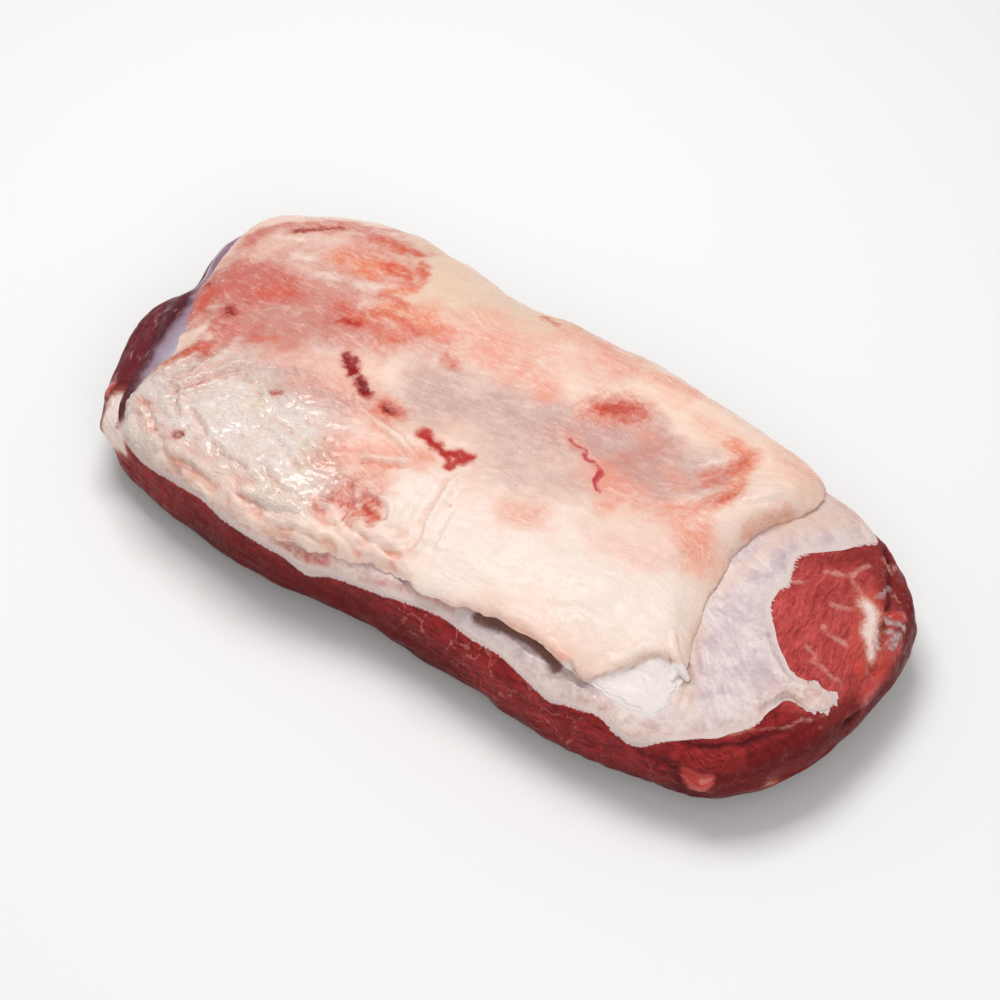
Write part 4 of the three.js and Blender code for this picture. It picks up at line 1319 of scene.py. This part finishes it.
def sculpt_lean(piece, skin_rim, settings):
    """Muscle forms, grooves and fibre of the lean, and where each of its colours lies."""
    points, normals = shape_of(piece)
    beyond = beyond_skin(points, skin_rim)
    bare = smooth(beyond, 2.6, 6.0)
    low = smooth(points[:, 2], 1.0, 7.0)
    cut = field(points, CUT_FACE) * smooth(beyond, 0.0, 2.0)
    flow = turned(points, 62, warp=9, warp_size=30, seed=81)
    fibres = creases(flow, (20, 3.2, 7), 83) + 0.6 * creases(flow, (9, 1.9, 4), 84)
    bundles = layers(grain_space(points, 55, 7), 1.0, 85, 2)
    side_fibres = layers(grain_space(points, 20, 2.8), 1.0, 88, 2)
    relief = 0.8 * layers(points, 26, 86, 2)
    relief += settings.fibre / MM * (1.2 * cut * fibres + (1 - cut) * (0.8 * side_fibres + 1.2 * bundles))
    for place, spread, height in LEAN_LUMPS:
        relief += height * bell(away(points, place), spread)
    wavy = points + 1.2 * shaken(points, 9, (87, 88, 89))
    groove_depth = np.zeros(len(points))
    for path, width, depth in LEAN_GROOVES:
        inside = near(wavy, path, width)
        relief -= depth * inside
        groove_depth = np.maximum(groove_depth, inside)
    move_points(piece, points + normals * (relief * bare * low)[:, None])

    lobe = field(points, LEFT_LOBES)
    needle_x, needle_y = grain_space(points, 1.2, 1.0)[:, :2].T
    keep_values(piece, {
        # Darker flesh low on the front and along the lower right, partly painted shade.
        "deep": field(points, DEEP_RED_AND_SHADE),
        "cut": cut,
        "beyond": np.clip(beyond + 2 * lobe, -4, 12),
        "needle_x": needle_x,
        "needle_y": needle_y,
        "needles": 2.5 + 9 * field(points, LONG_FRINGE) - 2.5 * lobe,
        "height": points[:, 2],
        # Grooves, which the material darkens as painted shade.
        "groove": groove_depth,
        "crest": np.clip(fibres * cut + (1 - cut) * (side_fibres + bundles), -1, 1),
        "lobe": lobe,
        "brown": field(wavy, BROWN_FLESH),
        "marbled": field(points, MARBLED),
        "seam": np.max([width - along_path(wavy, path)[0] for path, width in SEAMS], axis=0),
        "tallow": spots(wavy, CREAMY),
        "grey": spots(wavy, GREY_TISSUE),
        "scarlet": spots(wavy, SCARLET)})


def webs_of_fat(recipe, mottle):
    """Thin walls between cells about 21 mm wide, broken up by mottling."""
    broad = {"Vector": recipe.place(), "Scale": 0.13, "Detail": 3.0}
    warp = recipe.add("ShaderNodeTexNoise", broad, output="Color")
    bent = recipe.vector("ADD", recipe.place(), recipe.vector("SCALE", warp, 15.0))
    cells = {"Vector": bent, "Scale": 1 / 21, "Randomness": 1.0}
    wall = recipe.add("ShaderNodeTexVoronoi", cells, output="Distance", feature="DISTANCE_TO_EDGE")
    return (wall + mottle.ramp(0.44, 0.62, -0.01, 0.03) * -1.0).ramp(0.024, -0.01)


def fringe_of_skin(recipe):
    """Where needles of the torn silverskin reach out over the lean."""
    beyond = recipe.value_of("beyond")
    axes = {0: recipe.value_of("needle_x"), 1: recipe.value_of("needle_y"), 2: beyond * 0.1}
    place = recipe.add("ShaderNodeCombineXYZ", axes)
    spread = recipe.grain(9, 3, 0.6).ramp(0.3, 0.7, 0.4, 1.6)
    needle = (recipe.grain(1.0, 3, 0.7, where=place) - 0.42) * (recipe.value_of("needles") * spread)
    return (beyond + needle * -1.0).ramp(0.45, -0.35)


def lean_material(settings):
    material, recipe, surface = new_material("Lean")
    cut, lobe = recipe.value_of("cut"), recipe.value_of("lobe")
    outside = cut.ramp(0.6, 0.1)
    clouds = recipe.grain(15, 5, 0.62, 0.5)
    mottle = recipe.grain(4.5, 5, 0.62, 0.3)
    grain = recipe.grain(1.3, 4, 0.65)
    fibres = recipe.strands(76, 12, 1.0, 9)
    broad_fibres = recipe.strands(84, 20, 3.4, 12)
    long_fibres = recipe.strands(8, 26, 1.7, 14)
    slants = recipe.strands(62, 22, 3.4, 12)
    wrinkles = recipe.crinkles(78, 26, 2.9, 7) * 0.6 + recipe.crinkles(96, 14, 2.1, 5) * 0.4
    scarlet = recipe.broken_edge("scarlet", 1.2, 2.5, 1.2)
    tallow = recipe.broken_edge("tallow", 1.2, 1.6, 1.4)
    web = webs_of_fat(recipe, mottle) * recipe.value_of("marbled")
    seam_depth = recipe.value_of("seam") + (mottle - 0.5) * 5.0

    side, face, deep = settings.flesh, settings.cut_flesh, settings.deep_flesh_and_shade
    shade = (clouds * 0.6 + mottle * 0.4).ramp(0.4, 0.62)
    flesh = recipe.blend(shade, side, shaded(side, 0.6, 0.5, 0.52))
    fresh = recipe.blend(shade, face, shaded(face, 0.82, 0.74, 0.76)).under(
        (shaded(face, 0.62, 0.42, 0.44), broad_fibres.ramp(0.54, 0.36) * 0.7),
        (shaded(face, 1.15, 1.5, 1.5), broad_fibres.ramp(0.54, 0.68) * 0.5),
        (shaded(face, 0.55, 0.42, 0.44), fibres.ramp(0.48, 0.34) * 0.4),
        # Painted shade in the creases of the cut face.
        (shaded(face, 0.42, 0.24, 0.26), wrinkles.ramp(0.34, -0.15, 0.0, 0.85)))
    grey = recipe.blend(mottle.ramp(0.44, 0.56), settings.grey, settings.light_grey)
    colour = recipe.blend((cut + (clouds - 0.5) * 0.7).ramp(0.25, 0.75), flesh, fresh).under(
        (deep, outside * long_fibres.ramp(0.52, 0.34, 0.0, 0.6)),
        (shaded(side, 1.25, 1.7, 1.7), outside * long_fibres.ramp(0.56, 0.7, 0.0, 0.4)),
        # Painted shade in the valleys of the fibres.
        ((0.66, 0.54, 0.54), recipe.value_of("crest").ramp(0.1, -0.6) * 0.4, "MULTIPLY"),
        (shaded(side, 0.6, 0.7, 0.7), recipe.patchy("brown", mottle - 0.5, 1.5) * 0.85),
        # Darker flesh, partly painted shade.
        (shaded(side, 0.36, 0.24, 0.26), recipe.patchy("deep", mottle - 0.5, 1.5, 0.95)),
        # Painted shade: darker towards the foot.
        (deep, (recipe.value_of("height") + clouds * 18.0).ramp(42.0, 14.0) * 0.92),
        (settings.lilac_flesh, lobe * 0.85),
        (settings.pale_skin, lobe * (slants + clouds * 0.6).ramp(0.9, 1.02) * 0.55),
        # Painted shade in the grooves.
        (deep, recipe.value_of("groove") * 0.8),
        (shaded(settings.marbling, 0.9, 0.7, 0.68), web * 0.5),
        (settings.marbling, (seam_depth + (grain - 0.5) * 1.6).ramp(-1.4, 1.4) * 0.7),
        (settings.scarlet, scarlet * 0.85),
        (settings.glow, recipe.value_of("tallow").ramp(-4.0, 0.5) * 0.36),
        (settings.tallow, tallow * 0.92),
        (grey, recipe.broken_edge("grey", 1.8, 2.8, 0.9) * 0.8),
        (TORN_EDGE, fringe_of_skin(recipe) * 0.96))

    roughness, beads = recipe.wet_film(7.0, 0.2, 0.55, 0.45)
    wet_side = recipe.grain(2.2, 3, 0.6).ramp(0.64, 0.7, 0.0, 0.3)
    cut_wrinkles = wrinkles * (cut.ramp(0.0, 1.0, 0.2, 0.4) * tallow.ramp(0.0, 0.6, 1.0, 0.1))
    finish_surface(
        recipe, surface,
        {"Base Color": colour, "Roughness": roughness, "Coat Weight": wet_side * outside + scarlet * 0.8},
        {"IOR": 1.36, "Specular IOR Level": 0.22, "Coat Roughness": 0.12, "Subsurface Weight": 0.05,
         "Subsurface Radius": (1.0, 0.2, 0.15), "Subsurface Scale": 2 * MM},
        [(cut_wrinkles, 1.0), (fibres, 0.5), (broad_fibres, 0.5), (long_fibres, 0.25), (grain, 0.3),
         (beads, 0.1)])
    return material


# The largest face left on each piece in square millimetres, and limits of what shows in millimetres.
LEAN_FACE, SKIN_FACE, FAT_FACE = 2.0, 1.3, 1.9
UNDER_SKIN, ABOVE_TABLE, SKIN_STRIP, RIGHT_END, BACK_SIDE = -4, 3, 26, 125, 92


class BEEF_OT_lean(bpy.types.Operator):
    """Makes the lean: dark muscle with a bare cut end"""

    bl_idname = "beef.lean"
    bl_label = "Lean"
    bl_options = {"REGISTER", "UNDO"}

    def execute(self, context):
        settings = context.scene.beef_lean
        skin = smooth_copy("silverskin", "skin_outline")
        skin_rim = Rim(skin)
        bpy.data.objects.remove(skin)
        piece = smooth_copy("lean_meat", "meat")

        def shown(centres, normals):
            return (beyond_skin(centres, skin_rim) > UNDER_SKIN) & (centres[:, 2] > ABOVE_TABLE)

        split_faces(piece, shown, LEAN_FACE)
        sculpt_lean(piece, skin_rim, settings)
        finish_piece(piece, "lean_meat", lean_material(settings))
        return {"FINISHED"}


class BEEF_OT_silverskin(bpy.types.Operator):
    """Makes the silverskin: a thin wet skin over the lean, torn along its edge"""

    bl_idname = "beef.silverskin"
    bl_label = "Silverskin"
    bl_options = {"REGISTER", "UNDO"}

    def execute(self, context):
        settings = context.scene.beef_silverskin
        piece = smooth_copy("silverskin", "silverskin_sheet")
        rim = Rim(piece)

        def shown(centres, normals):
            in_view = (rim.nearest(centres)[0] < SKIN_STRIP) | (centres[:, 0] > RIGHT_END)
            return in_view & (outwardness(centres, normals) > -0.6)

        split_faces(piece, shown, SKIN_FACE)
        sculpt_silverskin(piece, bpy.data.objects["meat"], settings)
        finish_piece(piece, "silverskin", silverskin_material(settings))
        return {"FINISHED"}


class BEEF_OT_fat_cap(bpy.types.Operator):
    """Makes the fat cap: a thick pale sheet with folds, stains and a loose lip"""

    bl_idname = "beef.fat_cap"
    bl_label = "Fat cap"
    bl_options = {"REGISTER", "UNDO"}

    def execute(self, context):
        settings = context.scene.beef_fat
        piece = smooth_copy("fat_cap", "fat_sheet")
        skin = bpy.data.objects["silverskin_sheet"]

        def shown(centres, normals):
            return (outwardness(centres, normals) > -0.2) & (centres[:, 1] < BACK_SIDE)

        split_faces(piece, shown, FAT_FACE)
        sculpt_fat(piece, skin, settings)
        material = fat_material(settings)
        finish_piece(piece, "fat_cap", material)
        tongue = soft_lump("fat_tongue", resting_on(TONGUE, [piece, skin]))
        borrow_values(tongue, piece)
        keep_values(tongue, {"ply": np.full(len(tongue.data.vertices), OFF_PLY)})
        finish_piece(tongue, None, material)
        return {"FINISHED"}


FLOOR_SIZE = 8
VIEW_MIDDLE = (0.0091, -0.0126, 0.035)
SENSOR_WIDTH = 36


def add_light(name, place, target, size, power):
    facing = (place - target).to_track_quat("Z", "Y").to_euler()
    bpy.ops.object.light_add(type="AREA", location=place, rotation=facing)
    light = bpy.context.object
    light.name = name
    light.data.shape = "RECTANGLE"
    light.data.size, light.data.size_y = size
    light.data.energy = power


class BEEF_OT_stage(bpy.types.Operator):
    """Sets a pale floor, soft lights and the camera"""

    bl_idname = "beef.stage"
    bl_label = "Stage"
    bl_options = {"REGISTER", "UNDO"}

    def execute(self, context):
        settings = context.scene.beef_stage
        bpy.ops.object.select_all(action="DESELECT")
        bpy.ops.mesh.primitive_plane_add(size=FLOOR_SIZE)
        floor = context.object
        floor.name = "floor"
        material, recipe, surface = new_material("Floor")
        recipe.put(settings.floor, surface["Base Color"])
        surface["Roughness"].default_value = 0.9
        floor.data.materials.append(material)

        middle = Vector(VIEW_MIDDLE)
        add_light("key", Vector((-0.35, 0.25, 1.4)), middle, (0.8, 0.6), settings.key)
        add_light("fill", Vector((0.9, -0.9, 0.8)), middle, (0.9, 0.7), settings.fill)
        world = bpy.data.worlds.new("Studio")
        world.use_nodes = True
        backdrop = world.node_tree.nodes["Background"].inputs
        backdrop["Color"].default_value = (1, 1, 1, 1)
        backdrop["Strength"].default_value = settings.sky
        context.scene.world = world
        context.scene.view_settings.view_transform = "Standard"

        azimuth, elevation = settings.azimuth, settings.elevation
        back = Vector((math.sin(azimuth) * math.cos(elevation), -math.cos(azimuth) * math.cos(elevation),
                       math.sin(elevation)))
        place = middle + settings.distance * back
        bpy.ops.object.camera_add(location=place, rotation=back.to_track_quat("Z", "Y").to_euler())
        camera = context.object
        camera.name = "camera"
        camera.data.lens = settings.lens
        camera.data.sensor_width = SENSOR_WIDTH
        context.scene.camera = camera
        return {"FINISHED"}


class BEEF_PT_panel(bpy.types.Panel):
    bl_idname = "BEEF_PT_panel"
    bl_label = "Raw beef shoulder"
    bl_space_type = "VIEW_3D"
    bl_region_type = "UI"
    bl_category = "Beef"

    def draw(self, context):
        for operator, group in MAKING:
            box = self.layout.box()
            box.operator(operator.bl_idname)
            settings = getattr(context.scene, group)
            for name in settings.bl_rna.properties.keys():
                if name not in ("rna_type", "name"):
                    box.prop(settings, name)


SETTINGS = {
    "beef_stage": StageSettings,
    "beef_lean": LeanSettings,
    "beef_silverskin": SilverskinSettings,
    "beef_fat": FatSettings,
}
MAKING = [
    (BEEF_OT_stage, "beef_stage"),
    (BEEF_OT_lean, "beef_lean"),
    (BEEF_OT_silverskin, "beef_silverskin"),
    (BEEF_OT_fat_cap, "beef_fat"),
]
CLASSES = [*SETTINGS.values(), *(operator for operator, _ in MAKING), BEEF_PT_panel]


def register():
    for part in CLASSES:
        bpy.utils.register_class(part)
    for name, group in SETTINGS.items():
        setattr(bpy.types.Scene, name, bpy.props.PointerProperty(type=group))


def unregister():
    for name in SETTINGS:
        delattr(bpy.types.Scene, name)
    for part in reversed(CLASSES):
        bpy.utils.unregister_class(part)


def main():
    register()
    bpy.ops.beef.stage()
    bpy.ops.beef.lean()
    bpy.ops.beef.silverskin()
    bpy.ops.beef.fat_cap()


if __name__ == "__main__":
    main()
